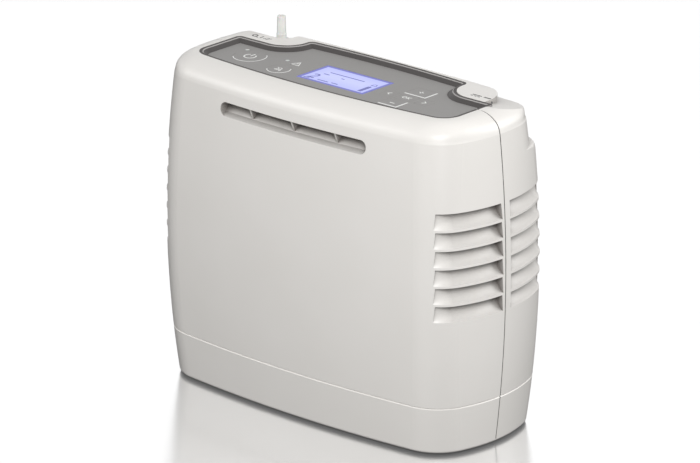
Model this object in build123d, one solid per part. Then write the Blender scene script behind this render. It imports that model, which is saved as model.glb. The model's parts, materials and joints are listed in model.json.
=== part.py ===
"""Portable oxygen concentrator: oval, barrel-sided housing on a pull-off battery pack.

Millimetres. X runs along the long faces, the reader of the control panel stands at -Y,
Z is up from the surface that the feet stand on, and the origin is under the middle
of the housing. Heights named with h count from the pack's lower edge, those named
with z from the table.
"""
from build123d import *
from math import acos, asin, atan, atan2, cos, degrees, hypot, radians, sin, sqrt
import os

os.makedirs("parts", exist_ok=True)

# Outer form
FOOT_STAND = 1.2          # how far the feet hold the pack off the table
BODY_H = 194.4            # lower edge of the pack to the rim of the panel recess
BELLY_HALF_W = 118.0      # widest half-width, at the belly
BELLY_HALF_D = 55.1       # deepest half-depth, at the belly
BELLY_H = 96.0            # height of the belly
END_DRAW = 6.4            # how far each end draws in from the belly to the lower edge
FACE_DRAW = 5.4           # the same for the two long faces
FACE_R = 760.0            # plan radius of the long faces
END_R = 85.5              # plan radius of the ends
CORNER_R = 26.0           # plan radius of the corners
PACK_H = 28.5             # height of the battery pack
PART_Y = -2.4             # plane that parts the front shells from the rear shells
WALL = 2.5                # wall of the housing and the pack
SEAM_GAP = 0.3            # open joint between housing and pack
PART_GAP = 0.8            # open joint along the parting plane
SEAL_IN = 0.25            # seal in that joint, below the surface
FIT = 0.15                # clearance of a piece that drops into another
CLOSE_FIT = 0.1           # clearance of a piece that is held snugly
HAIR_GAP = 0.05           # least gap that keeps two pieces apart
SLIDE_FIT = 0.4           # clearance round a piece that slides

# Crown, rear step and rear ledge
CROWN_DROP = 7.9          # height of the rounded shoulder
SHOULDER_EASE = 3.0       # how far below the shoulder its soft lower edge starts
SHOULDER_IN = 0.4         # how far that soft edge stands in from a sharp one
RIM_HALF_W = 98.0         # half-width where the shoulder levels out
RIM_FRONT = 35.6          # the same towards the front
RIM_BACK = 34.6           # the same towards the back
RIM_END_R = 400.0         # plan radius of the ends at the rim
RIM_CORNER_R = 13.0       # plan radius of the corners at the rim
SET_BACK = 7.2            # how far the upper rear wall stands in
SET_BACK_H = 168.0        # height where the upper rear wall starts
STEP_ROUND = 3.6          # height of the rounded step below it
LEDGE_Y = 4.0             # line where the sloping rear ledge leaves the rim level
LEDGE_SLOPE = 0.2         # fall of the rear ledge per millimetre of depth
BAND_BACK = 34.3          # back edge of the raised band round the panel
BAND_RIGHT = 90.5         # right edge of the raised band
BAND_CORNER_R = 20.0      # its rounded right corner
BAND_LEFT_Y = 22.5        # its edge beside the nozzle
BAND_LEFT_X = 70.0        # its side beside the nozzle
CRADLE_R = 8.0            # its hollow round the nozzle
BAND_TIP_R = 3.0          # its tip beside the nozzle

# Panel recess
RECESS_HALF_W = 96.7
RECESS_FRONT = 34.6       # front edge at the middle
RECESS_BACK = 33.2        # back edge at the middle
RECESS_CORNER_R = 12.0
NOTCH_LEFT_Y = 11.6       # front edge of the left notch
NOTCH_RIGHT_Y = 10.4      # front edge of the right notch
NOTCH_LEFT_X = 58.0       # inner side of the left notch
NOTCH_LEFT_R = 15.0
NOTCH_LEFT_HEEL_R = 3.0
NOTCH_RIGHT_X = 62.0      # inner side of the right notch
NOTCH_RIGHT_R = 15.0
NOTCH_RIGHT_HEEL_R = 0.8
NOTCH_TIP_R = 4.0         # tips beside the notches
NOTCH_FLAT = 0.3          # straight left between a notch's round and its tip
RECESS_LEAST_R = 0.4      # least corner radius inside the recess
RECESS_DROP = 2.5         # rim to the face of the control overlay
BEZEL_STAND_IN = 0.1      # bezel's top edge below the rim
PANEL_FIT = 0.1           # clearance round the bezel and round the overlay
BEZEL_LIP = 1.7           # width of the bezel's flat top edge
BEZEL_WALL = 5.0          # width of the bezel down to the overlay
BEZEL_FLANGE = 1.6        # ledge that carries the overlay
BEZEL_FLANGE_T = 1.4
BEZEL_POST_R = 1.6
OVERLAY_T = 1.2
SEAT_W = 2.2              # shell's foot under the bezel
SEAT_T = 1.6
COLLAR_T = 1.8            # shell's collar round the bezel

# Keys, display and display board
KEY_GAP = 0.15            # gap between a key and the overlay
KEY_FLANGE = 0.8          # width and thickness of the rim that holds a key under the overlay
KEY_STEM_R = 1.6
KEY_STEM_L = 0.4
POWER_KEY = (-70.0, -8.3, 10.2)       # x, y, radius
SILENCE_KEY = (-41.2, -15.3, 7.3)
PLUS_KEY = (48.3, 5.6, 14.6, 11.4)    # x, y, width, depth
MINUS_KEY = (48.0, -19.3, 14.6, 11.2)
OK_KEY = (48.3, -7.0, 12.0, 9.4)
LEFT_KEY = (35.4, -7.2, 9.0, 9.0)
RIGHT_KEY = (61.5, -7.2, 9.0, 9.0)
KEY_CORNER_R = 1.2
LIGHTS = ((-79.6, 0.0), (-48.6, 0.2))
LIGHT_R = 1.2
WINDOW_W = 50.4
WINDOW_D = 27.6
WINDOW_X = 0.2
WINDOW_Y = -5.1
WINDOW_T = 0.5
MODULE_BORDER = 3.0       # display module beyond the window
BOARD_DROP = 8.7          # rim to the display board's top
BOARD_T = 1.6
BOARD_INSET = 2.8
DISPLAY_BOARD_PARTS = (((-60.0, -46.0), (12.0, 22.0), 1.2), ((70.0, 84.0), (-12.0, -6.0), 5.0))  # x, y, height
SWITCH_W = 5.6
SWITCH_H = 2.2
SWITCH_TOP = 0.7

# End louvres and front vent
LOUVRE_ROWS = 6
LOUVRE_PITCH = 10.8
LOUVRE_TOP_H = 144.5      # height of the first row's lip
LOUVRE_H = 9.6
LOUVRE_DEPTH = 5.4
LOUVRE_HOLLOW = ((0.3, 0.95), (0.6, 0.72), (0.82, 0.42))   # share of the height, share of the depth
LOUVRE_FRONT_Y = 5.4      # inner end of a front row
LOUVRE_REAR_Y = 1.9       # inner end of a rear row
LOUVRE_SPLAY = 1.0        # slant of a front row's inner end
LOUVRE_TURN = 31.0        # degrees round the corner where a row's floor starts to rise
LOUVRE_END = 54.0         # degrees round the corner where it ends
LOUVRE_LEAN = 2.5         # degrees that its end leans out downwards
LOUVRE_END_DEPTH = 1.2
LOUVRE_OUT = 3.0          # how far a cut reaches outside the wall
LOUVRE_RUN_OUT = 0.15     # how far a row's floor has left the wall at its lower edge
VENT_SLIT = 1.8           # open slit under each lip
SLIT_Y = 33.0             # outer end of a row's slit
PAD_BACK = 1.4            # housing left behind the deepest louvre
PAD_MARGIN = 3.5
PAD_X = 82.0              # where the thickened corners start
VENT_HALF_W = 55.0
VENT_H = 8.2
VENT_MID_H = 174.1
VENT_DEPTH = 7.0
VENT_RAMP_H = 5.2
VENT_SILL = (3.5, 1.6)    # depth and height where the vent's floor turns up
VENT_RIBS = (-32.0, 0.0, 32.0)
VENT_RIB_T = 1.2
VENT_RIB_IN = 1.0         # rib's front edge behind the lip
VENT_RIB_LEAN = 3.4       # how far it has leant back at the slot's lower edge

# Nozzle, inlet and filter door
NOZZLE_X = -81.7
NOZZLE_Y = 31.5
NOZZLE_TIP = 10.4         # tip above the rim
NOZZLE_SEAT = 4.0         # boss top below the rim
NOZZLE_ROOT_R = 2.9
NOZZLE_ROOT_H = 3.6
NOZZLE_NECK_R = 2.7
NOZZLE_TIP_R = 2.45
NOZZLE_EDGE = 0.15
NOZZLE_BORE_R = 1.4
NOZZLE_SHANK_R = 3.4
NOZZLE_FLANGE_R = 6.0
NOZZLE_FLANGE_T = 1.5
NOZZLE_FLAT = 3.8         # flat of the flange, towards the rear wall
NOZZLE_TAIL = 10.0        # hose tail under the flange
BOSS_R = 5.2
BOSS_UNDER_R = 7.2
BOSS_UNDER = 9.8          # boss's flat underside below the rim
SEAL_T = 1.0
INLET_X = 68.0
INLET_H = 177.5
INLET_FLANGE_R = 7.5
INLET_FLANGE_T = 1.5
INLET_BODY_R = 6.0
INLET_BODY_L = 14.0
INLET_BORE_R = 4.5
INLET_BORE_L = 9.0
INLET_PIN_R = 0.6
INLET_PIN_L = 3.5
INLET_PIN_RING = 2.4
DOOR_W = 84.0
DOOR_H = 62.0
DOOR_MID_H = 98.0
DOOR_R = 7.0
DOOR_T = 2.2
DOOR_GAP = 0.4
DOOR_SLOTS = 7
DOOR_SLOT_W = 27.0
DOOR_SLOT_H = 3.0
DOOR_SLOT_PITCH = 6.4
DOOR_PULL_R = 8.0
SEAT_RIM = 3.0            # rim that the door closes on
SEAT_RIM_T = 2.0
FOAM_T = 7.2
TRAY_T = 1.6

# Pack
LID_T = 2.2
LID_DROP = 0.9            # lid below the pack's rim
LID_POSTS = ((-102.0, -17.0), (-102.0, 17.0), (100.0, -20.0), (100.0, 20.0))
LID_POST_R = 3.5
PACK_EDGE_R = 1.6         # rounded lower edge
PACK_LIP = 0.7            # chamfer at the seam
CELL_R = 9.2
CELL_L = 65.1
CELL_GAP = 0.9            # between cells end to end
CELL_PITCH = 18.9
CELL_ROWS = 4
CELL_X = -92.0            # left end of the cells
CELL_Y = -31.0            # front row
CELL_FLOOR = 0.4
HOLDER_X = (-82.0, -26.5, 29.0)
HOLDER_T = 4.0
FOOT_R = 7.0
FOOT_X = 86.0
FOOT_Y = 26.0
FOOT_SUNK = 1.0
PACK_BOSS_X = 101.0
PACK_BOSS_R = 3.6
PACK_BOSS_H = 4.2
PACK_BOARD_X = (41.0, 91.0)
PACK_BOARD_HALF_D = 30.0
PACK_BOARD_LIFT = 3.0
PACK_CHIP_Y = 18.0
PACK_CHIP_X = (76.0, 86.0)
PACK_CHIP_W = 8.0
PACK_CHIP_T = 2.0
PACK_COIL = (60.0, 20.0)
PACK_COIL_R = 6.0
PACK_COIL_H = 7.0
LINK_X = 59.0             # connector between pack and unit
LINK_W = 34.0
LINK_D = 12.0
LINK_FLANGE = 2.0
LINK_FLANGE_H = 6.0
BLADES = 4
BLADE_PITCH = 7.5
BLADE_T = 0.8
BLADE_W = 5.5
BLADE_REACH = 7.0
LATCH_W = 27.2
LATCH_H = 9.2
LATCH_MID_H = 15.0
LATCH_TRAVEL = 2.5
LATCH_ARM_W = 16.0
LATCH_ARM_T = 2.0
LATCH_ARM_Y = 45.4        # outer side of the arm
LATCH_NOSE = 1.4
LATCH_NOSE_H = 2.4
LATCH_SHORT = 0.3         # nose stops short of its catch
SPRING_R = 2.4
SPRING_WIRE_R = 0.35
SPRING_L = 3.4
SPRING_TURNS = 3
SPRING_RIB_Y = 37.0
SPRING_RIB_T = 1.4

# Chassis and machinery
CHASSIS_GAP = 0.6         # chassis above the seam
CHASSIS_T = 3.6
CHASSIS_FIT = 0.4
FRAME_T = 2.5
FRAME_X = (-4.0, 82.5)    # outer faces of the two frame walls
FRAME_HALF_D = 33.0
FRAME_TOP = 148.0
FRAME_BOSS_R = 3.4
FRAME_BOSS_Y = 28.0
BOSS_POSTS = ((-66.0, -43.2), (0.0, -46.0), (66.0, -43.2), (-66.0, 43.2), (66.0, 43.2))
POST_R = 3.8
POST_L = 12.0
SCREW_R = 1.3
SCREW_L = 9.0
HEAD_R = 2.8
HEAD_T = 2.0
HEAD_FIT = 0.3
HEAD_SUNK = 0.2           # screw heads below the chassis
LID_HEAD_T = 1.2          # heads of the lid's screws, sunk flush
SMALL_SCREW_R = 0.8
CASE_POST_X = 97.0
CASE_POST_H = (56.0, 157.0)
CASE_GRIP = 8.0           # screw head to the parting plane
TONGUE_T = 1.2
TONGUE_REACH = 2.0
TONGUE_H = ((36.0, 76.0), (152.0, 184.0))
MOUNT_R = 5.0
MOUNT_H = 9.0
MOUNT_X = (9.0, 71.0)
MOUNT_Y = 21.5
SLED_T = 3.0
SLED_X = (2.0, 78.0)
SLED_HALF_D = 27.0
CRANK_R = 21.0
CRANK_X = (20.0, 68.0)
CRANK_Z = 70.0
MOTOR_R = 23.0
MOTOR_X = (1.0, 20.0)
LINER_R = 11.5
LINER_X = (32.2, 55.8)
LINER_H = 22.0
HEAD_W = 23.0
HEAD_D = 34.0
HEAD_H = 14.0
HEAD_FINS = 4
BED_R = 18.5
BED_X = (-71.0, -27.0)
BED_Y = -19.5
BED_WALL = 1.5
BED_SOCKET = 2.0
MANIFOLD_T = 10.0
VALVE_HEADROOM = 13.4     # valve block's top to the display board
VALVE_T = 12.0
VALVE_D = 18.0
SOLENOIDS = 4
SOLENOID_R = 6.5
SOLENOID_L = 24.0
SOLENOID_PITCH = 16.0
MAIN_BOARD_PARTS = (((20.0, 36.0), (-8.0, 8.0), 1.5), ((46.0, 54.0), (-26.0, -18.0), 1.5),
                    ((10.0, 30.0), (20.0, 27.0), 6.0), ((64.0, 74.0), (-12.0, 12.0), 7.0))
CAPACITORS = ((44.0, 18.0), (56.0, 18.0))
CAPACITOR_R = 5.0
CAPACITOR_H = 9.0
BUZZER_AT = (72.0, 22.0)
BUZZER_R = 6.0
BUZZER_H = 5.0
TANK_X = -58.0
TANK_Y = 23.0
TANK_R = 16.0
TANK_TOP = 146.0
TANK_NECK_R = 5.0
TANK_NECK_H = 4.0
SENSOR_W = 16.0
SENSOR_D = 14.0
SENSOR_H = 18.0
FAN_X = (83.5, 99.0)
FAN_HALF = 35.0
FAN_Z = 115.0
FAN_BORE_R = 32.0
FAN_TIP_GAP = 1.0
FAN_HUB_R = 13.0
FAN_BLADES = 7
FAN_BLADE_T = 1.2
FAN_PITCH = 35.0
FAN_PIN_R = 1.5
FAN_PLATE_T = 2.5
FAN_HOLE = 30.5
SPACER_R = 2.4
HOSE_R = 4.0
HOSE_BORE_R = 2.9
BARB_R = 2.8
FEED_RISE = 18.0          # feed hose's first bend above the compressor's head
FEED_DROP = 8.0           # its second bend below the valve block's port
FEED_Y = 8.0              # depth where it leaves the head

BODY_Z = FOOT_STAND
TOP_Z = FOOT_STAND + BODY_H
SEAM_Z = FOOT_STAND + PACK_H
CREASE_H = BODY_H - CROWN_DROP
EASE_H = CREASE_H - SHOULDER_EASE
FLOOR_Z = TOP_Z - RECESS_DROP
OVERLAY_Z = FLOOR_Z - OVERLAY_T
FLANGE_Z = OVERLAY_Z - BEZEL_FLANGE_T
BOARD_Z = TOP_Z - BOARD_DROP
CHASSIS_Z = SEAM_Z + CHASSIS_GAP
DECK_Z = CHASSIS_Z + CHASSIS_T
LID_TOP_Z = SEAM_Z - SEAM_GAP / 2 - LID_DROP
SLED_Z = DECK_Z + MOUNT_H
BED_Z = DECK_Z + MANIFOLD_T - BED_SOCKET
VALVE_Z = BOARD_Z - BOARD_T - VALVE_HEADROOM - VALVE_T
HEAD_Z = VALVE_Z - MANIFOLD_T
BED_TOP_Z = HEAD_Z + BED_SOCKET
FAR = 400.0


def half_width(h):
    """Half-width of the barrel form at a height above the pack's lower edge."""
    return BELLY_HALF_W - END_DRAW * ((h - BELLY_H) / BELLY_H) ** 2


def half_depth(h):
    return BELLY_HALF_D - FACE_DRAW * ((h - BELLY_H) / BELLY_H) ** 2


def bow(x):
    """How far a long face falls back from its middle at a distance from it."""
    return x**2 / (2 * FACE_R)


def box(x, y, z):
    """A block between three pairs of limits."""
    size = [abs(b - a) for a, b in (x, y, z)]
    mid = [(a + b) / 2 for a, b in (x, y, z)]
    return Pos(*mid) * Box(*size)


def post(x, y, z, r):
    """An upright cylinder between two heights."""
    return Pos(x, y, (z[0] + z[1]) / 2) * Cylinder(r, abs(z[1] - z[0]))


def rod_y(x, y, z, r):
    """A cylinder along Y between two depths."""
    return Pos(x, (y[0] + y[1]) / 2, z) * Rot(90, 0, 0) * Cylinder(r, abs(y[1] - y[0]))


def rod_x(x, y, z, r):
    """A cylinder along X between two limits."""
    return Pos((x[0] + x[1]) / 2, y, z) * Rot(0, 90, 0) * Cylinder(r, abs(x[1] - x[0]))


def rise(plan, z):
    """A plan shape raised between two heights."""
    return extrude(Pos(0, 0, z[0]) * plan, z[1] - z[0])


def upright(plan, y):
    """A shape drawn in X and Z, pushed along Y between two depths."""
    return extrude(Plane(origin=(0, y[1], 0), x_dir=(1, 0, 0), z_dir=(0, -1, 0)) * plan, y[1] - y[0])


def corner_arc(half_w, half_d, face_r, end_r, corner_r):
    """Centre of a corner's arc, and the angles where it meets the end and the face."""
    face_y = face_r - half_d
    end_x = half_w - end_r
    span = hypot(end_x, face_y)
    to_face, to_end = face_r - corner_r, end_r - corner_r
    along = (to_face**2 - to_end**2 + span**2) / (2 * span)
    off = sqrt(max(to_face**2 - along**2, 0.0))
    ux, uy = end_x / span, -face_y / span
    cx, cy = along * ux - off * uy, face_y + along * uy + off * ux
    if cy > 0 or cx < 0:
        cx, cy = along * ux + off * uy, face_y + along * uy - off * ux
    return cx, cy, atan2(cy, cx - end_x), atan2(cy - face_y, cx)


def oval(half_w, half_d, z, face_r, end_r, corner_r):
    """Outline of eight tangent arcs: shallow faces and ends, tighter corners."""
    face_y = face_r - half_d
    end_x = half_w - end_r
    cx, cy, end_a, face_a = corner_arc(half_w, half_d, face_r, end_r, corner_r)
    mid_a = (face_a + end_a) / 2
    low = (face_r * cos(face_a), face_y + face_r * sin(face_a))
    side = (end_x + end_r * cos(end_a), end_r * sin(end_a))
    bend = (cx + corner_r * cos(mid_a), cy + corner_r * sin(mid_a))
    ring = [low, bend, side, (half_w, 0), (side[0], -side[1]), (bend[0], -bend[1]),
            (low[0], -low[1]), (0, half_d)]
    ring += [(-x, y) for x, y in ring[6::-1]] + [(0, -half_d)]
    points = [Vector(x, y, z) for x, y in ring]
    count = len(points)
    arcs = [Edge.make_three_point_arc(points[k], points[k + 1], points[(k + 2) % count])
            for k in range(0, count, 2)]
    return Wire(arcs)


def ring_at(h, inset, set_back=0.0):
    return oval(half_width(h) - inset, half_depth(h) - set_back - inset, BODY_Z + h,
                FACE_R - inset, END_R - inset, CORNER_R - inset)


def barrel(inset, low, high, set_back=0.0, rings=3):
    """The barrel form between two heights, its walls moved in by an inset."""
    heights = [low + (high - low) * k / (rings - 1) for k in range(rings)]
    return Solid.make_loft([ring_at(h, inset, set_back) for h in heights])


def crown(inset, rim_d, set_back=0.0, rings=6):
    """The shoulder: arcs that leave the walls at a softened crease and level out at the rim."""
    run_w = half_width(CREASE_H) - RIM_HALF_W
    run_d = half_depth(CREASE_H) - set_back - rim_d
    r_w = (run_w**2 + CROWN_DROP**2) / (2 * CROWN_DROP)
    r_d = (run_d**2 + CROWN_DROP**2) / (2 * CROWN_DROP)
    full = acos(1 - CROWN_DROP / r_w)
    wires = [ring_at(EASE_H, inset, set_back)]
    for k in range(rings):
        share = 1 - k / (rings - 1)
        ease = SHOULDER_IN if k == 0 else 0.0
        drop = inset + (CROWN_DROP - inset) * (1 - cos(full * share)) / (1 - cos(full))
        reach_w = sqrt(max((r_w - inset) ** 2 - (r_w - drop) ** 2, 0.0))
        reach_d = sqrt(max((r_d - inset) ** 2 - (r_d - drop) ** 2, 0.0))
        part = reach_w / run_w
        end_r = 1 / (part / END_R + (1 - part) / RIM_END_R)
        corner_r = RIM_CORNER_R + (CORNER_R - RIM_CORNER_R) * part
        wires.append(oval(RIM_HALF_W + reach_w - ease, rim_d + reach_d - ease, TOP_Z - drop - ease / 3,
                          FACE_R - inset - ease, end_r - inset - ease, corner_r - inset - ease))
    return Solid.make_loft(wires)


def rear_step(inset, rings=4):
    """The rounded step on the rear between the full belly and the set-back wall."""
    wires = []
    for k in range(rings):
        turn = radians(90 * k / (rings - 1))
        h = SET_BACK_H - STEP_ROUND * (1 - sin(turn))
        wires.append(ring_at(h - inset, inset, SET_BACK * (1 - cos(turn))))
    return Solid.make_loft(wires)


def corner(plan, x, y):
    """The corner of a plan nearest to a point."""
    return plan.vertices().sort_by_distance((x, y, 0))[0]


def rounded(plan, x, y, r):
    """A plan with one corner rounded."""
    return plan.fillet_2d(r, [corner(plan, x, y)])


def recess_plan(grow=0.0):
    """Plan of the panel recess: bowed front and back, a rounded notch at each rear corner."""
    half = RECESS_HALF_W + grow
    low, high = grow + RECESS_FRONT, grow + RECESS_BACK
    front = Edge.make_three_point_arc((-half, bow(half) - low), (0, -low), (half, bow(half) - low))
    back = Edge.make_three_point_arc((half, high - bow(half)), (0, high), (-half, high - bow(half)))
    right = Edge.make_line(front @ 1, back @ 0)
    left = Edge.make_line(back @ 1, front @ 0)
    plan = Face(Wire([front, right, back, left]))
    plan = rounded(plan, -half, -low, RECESS_CORNER_R + grow)
    plan = rounded(plan, half, -low, RECESS_CORNER_R + grow)
    for side, inner, notch_y, radius, heel_r in (
            (-1, NOTCH_LEFT_X, NOTCH_LEFT_Y, NOTCH_LEFT_R, NOTCH_LEFT_HEEL_R),
            (1, NOTCH_RIGHT_X, NOTCH_RIGHT_Y, NOTCH_RIGHT_R, NOTCH_RIGHT_HEEL_R)):
        inner += grow
        notch_y += grow
        tip_y = high - bow(inner)
        tip_r = max(NOTCH_TIP_R + grow, RECESS_LEAST_R)
        notch_r = min(radius - grow, tip_y - notch_y - tip_r - NOTCH_FLAT)
        notch = rounded(quarter(side * inner, notch_y, (side, 1)), side * inner, notch_y, notch_r)
        plan = (plan - notch).faces()[0]
        plan = rounded(plan, side * half, notch_y, max(heel_r + grow, RECESS_LEAST_R))
        plan = rounded(plan, side * inner, tip_y, tip_r)
    return plan


def quarter(x, y, ways):
    """A large rectangle in plan, from a corner towards the ways given."""
    xs = sorted((x, x + ways[0] * FAR))
    ys = sorted((y, y + ways[1] * FAR))
    ring = [(xs[0], ys[0]), (xs[1], ys[0]), (xs[1], ys[1]), (xs[0], ys[1])]
    return Face(Wire.make_polygon(ring))


def band_plan(grow=0.0):
    """Plan of what stays at rim level: the band behind the panel, hollowed beside the nozzle."""
    right, back = BAND_RIGHT + grow, BAND_BACK + grow
    plan = rounded(quarter(right, back, (-2, -2)), right, back, BAND_CORNER_R + grow)
    side, near = grow - BAND_LEFT_X, BAND_LEFT_Y + grow
    hollow = rounded(quarter(side, near, (-2, 2)), side, near, CRADLE_R - grow)
    plan = (plan - hollow).faces()[0]
    return rounded(plan, side, back, BAND_TIP_R + grow)


def ledge_cut(under=0.0):
    """What the sloping rear ledge takes off the crown, or its underside at a wall below."""
    ground = quarter(-FAR, LEDGE_Y, (2, 1))
    cut = rise(ground - band_plan(-under), (TOP_Z - 30, TOP_Z + 5))
    tilt = -degrees(atan(LEDGE_SLOPE))
    above = Pos(0, LEDGE_Y, TOP_Z - under) * Rot(tilt, 0, 0) * Pos(0, 0, FAR / 2) * Box(FAR, FAR, FAR)
    return cut & above


def scoop_ring(way, h, near, floor, depth, turn, end_depth):
    """Outline of a scoop at one height: inner end, floor round the corner, far end, outer side."""
    end_x = half_width(h) - END_R
    cx, cy, join, _ = corner_arc(half_width(h), half_depth(h), FACE_R, END_R, CORNER_R)
    join = -join

    def at(angle, inset):
        if angle < join:
            x, y = end_x + (END_R - inset) * cos(angle), (END_R - inset) * sin(angle)
        else:
            x, y = cx + (CORNER_R - inset) * cos(angle), (CORNER_R - inset) * sin(angle) - cy
        return Vector(x, way * y, BODY_Z + h)

    start, inner = asin(floor / (END_R - depth)), asin(near / END_R)
    rise_a = radians(LOUVRE_TURN)
    out = -LOUVRE_OUT
    edges = [Edge.make_line(at(inner, out), at(start, depth)),
             Edge.make_three_point_arc(at(start, depth), at((start + join) / 2, depth), at(join, depth)),
             Edge.make_three_point_arc(at(join, depth), at((join + rise_a) / 2, depth), at(rise_a, depth)),
             Edge.make_three_point_arc(at(rise_a, depth), at((rise_a + turn) / 2, (depth + end_depth) / 2),
                                       at(turn, end_depth)),
             Edge.make_line(at(turn, end_depth), at(turn, out)),
             Edge.make_three_point_arc(at(turn, out), at(join, out), at(inner, out))]
    return Wire(edges)


def louvre_cuts(front):
    """Scoops of one half of the right end: a sharp lip, an open slit and a floor that ramps out."""
    cuts = []
    way = -1 if front else 1
    near = LOUVRE_FRONT_Y if front else LOUVRE_REAR_Y
    floor = near - LOUVRE_SPLAY if front else near
    end = radians(LOUVRE_END)
    for row in range(LOUVRE_ROWS):
        lip = LOUVRE_TOP_H - row * LOUVRE_PITCH
        rings = [scoop_ring(way, lip, near, floor, LOUVRE_DEPTH, end, LOUVRE_END_DEPTH)]
        for fall, share in LOUVRE_HOLLOW:
            rings.append(scoop_ring(way, lip - fall * LOUVRE_H, near - fall * (near - floor), floor,
                                    share * LOUVRE_DEPTH, end + fall * radians(LOUVRE_LEAN),
                                    share * LOUVRE_END_DEPTH))
        rings.append(scoop_ring(way, lip - LOUVRE_H, floor, floor, -LOUVRE_RUN_OUT,
                                end + radians(LOUVRE_LEAN), -LOUVRE_RUN_OUT))
        cuts.append(Solid.make_loft(rings))
        x = half_width(lip) - LOUVRE_DEPTH
        slit_y = sorted((way * (near + VENT_SLIT), way * SLIT_Y))
        cuts.append(box((x - 3 * LOUVRE_DEPTH, x + 1), slit_y, (BODY_Z + lip - VENT_SLIT, BODY_Z + lip)))
    return cuts


def vent_cut():
    """Long front vent: a slot with round ends whose floor ramps out, and a slit between its ribs."""
    face = half_depth(VENT_MID_H)
    low, high = VENT_MID_H - VENT_H / 2, VENT_MID_H + VENT_H / 2
    stadium = Pos(0, BODY_Z + VENT_MID_H) * SlotOverall(2 * VENT_HALF_W, VENT_H)
    slot = upright(stadium, (-face - 10, -face + 20))
    outer = FACE_R + 6
    profile = Polyline((outer, low - 1), (FACE_R + 0.4, low), (FACE_R - VENT_SILL[0], low + VENT_SILL[1]),
                       (FACE_R - VENT_DEPTH, low + VENT_RAMP_H),
                       (FACE_R - 14, low + VENT_RAMP_H), (FACE_R - 14, high + 1), (outer, high + 1),
                       close=True)
    spin = Plane(origin=(0, FACE_R - face, BODY_Z), x_dir=(0, -1, 0), z_dir=(-1, 0, 0))
    ring = revolve(spin * make_face(profile), Axis((0, FACE_R - face, 0), (0, 0, 1)), 12)
    ring = Pos(0, FACE_R - face, 0) * Rot(0, 0, -6) * Pos(0, face - FACE_R, 0) * ring
    cut = slot & ring
    for x in VENT_RIBS:
        front = -face + bow(x) + VENT_RIB_IN
        side = Polyline((front, BODY_Z + high), (front + VENT_RIB_LEAN, BODY_Z + low), (0, BODY_Z + low),
                        (0, BODY_Z + high), close=True)
        cut -= extrude(Plane.YZ.offset(x) * make_face(side), VENT_RIB_T / 2, both=True)
    return cut


def both_ends(pieces):
    return pieces + [mirror(piece, Plane.YZ) for piece in pieces]


def half_space(front):
    """Everything on the far side of the parting plane from a half that is kept."""
    if front:
        return box((-FAR, FAR), (PART_Y - PART_GAP / 2, FAR), (-FAR, FAR))
    return box((-FAR, FAR), (-FAR, PART_Y + PART_GAP / 2), (-FAR, FAR))


def pads():
    """Thickened walls behind the end louvres."""
    low = LOUVRE_TOP_H - (LOUVRE_ROWS - 1) * LOUVRE_PITCH - LOUVRE_H - PAD_MARGIN
    high = LOUVRE_TOP_H + PAD_MARGIN
    keep = barrel(LOUVRE_DEPTH + PAD_BACK, low - 1, high + 1)
    ends = both_ends([box((PAD_X, FAR), (-FAR, FAR), (BODY_Z + low, BODY_Z + high))])
    return [end - keep for end in ends]


def vent_pad():
    """Thickened wall behind the front vent."""
    reach = VENT_HALF_W + PAD_MARGIN
    y = -half_depth(VENT_MID_H) + VENT_DEPTH + PAD_BACK
    mid = BODY_Z + VENT_MID_H
    return box((-reach, reach), (-FAR, y), (mid - VENT_H, mid + VENT_H))


def housing_void(front):
    """The hollow inside the housing."""
    low = PACK_H - WALL
    if front:
        hollow = barrel(WALL, low, EASE_H) + crown(WALL, RIM_FRONT)
        return hollow - [*pads(), vent_pad()]
    parts = [rear_step(WALL), barrel(WALL, SET_BACK_H - WALL, EASE_H, SET_BACK),
             crown(WALL, RIM_BACK, SET_BACK)]
    hollow = barrel(WALL, low, SET_BACK_H - STEP_ROUND - WALL) + parts
    return hollow - [ledge_cut(WALL), *pads()]


def shell(front, plan, added, cuts):
    """One half of the housing: its walls, what is added inside them and what is cut away."""
    low = PACK_H + SEAM_GAP / 2
    collar = rise(recess_plan(COLLAR_T), (FLANGE_Z - SEAT_T, TOP_Z - WALL / 2))
    if front:
        form = barrel(0, low, EASE_H) + crown(0, RIM_FRONT)
    else:
        parts = [rear_step(0), barrel(0, SET_BACK_H, EASE_H, SET_BACK), crown(0, RIM_BACK, SET_BACK)]
        form = barrel(0, low, SET_BACK_H - STEP_ROUND) + parts
        form -= ledge_cut()
    body = form - (housing_void(front) - [collar] - added)
    away = [rise(recess_plan(-SEAT_W), (FLANGE_Z - 2 * SEAT_T, TOP_Z + 1)),
            rise(plan, (FLANGE_Z, TOP_Z + 1)), half_space(front)]
    return body - away - cuts


def wall_posts(front):
    """Screw posts for the chassis and for the other half, tied to the wall."""
    way = -1 if front else 1
    posts = []
    for x, y in BOSS_POSTS:
        if y * way > 0:
            z = (DECK_Z, DECK_Z + POST_L)
            rib = sorted((y, y + way * POST_L))
            posts += [post(x, y, z, POST_R), box((x - POST_R / 2, x + POST_R / 2), rib, z)]
    for x in (-CASE_POST_X, CASE_POST_X):
        for h in CASE_POST_H:
            posts.append(rod_y(x, sorted((PART_Y, way * FAR / 4)), BODY_Z + h, POST_R))
    return posts


def post_holes(front):
    """Threads in the front half, sleeves and deep screw wells in the rear half."""
    holes = []
    for x, y in BOSS_POSTS:
        if (y < 0) == front:
            holes.append(post(x, y, (DECK_Z - 1, DECK_Z + SCREW_L), SCREW_R + FIT / 3))
    for x in (-CASE_POST_X, CASE_POST_X):
        for h in CASE_POST_H:
            if front:
                holes.append(rod_y(x, (PART_Y - SCREW_L - 1, PART_Y), BODY_Z + h, SCREW_R + FIT / 3))
            else:
                holes.append(rod_y(x, (PART_Y - 1, FAR / 4), BODY_Z + h, SCREW_R + FIT))
                holes.append(rod_y(x, (PART_Y + CASE_GRIP, FAR / 4), BODY_Z + h, HEAD_R + HEAD_FIT))
    return holes


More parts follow.
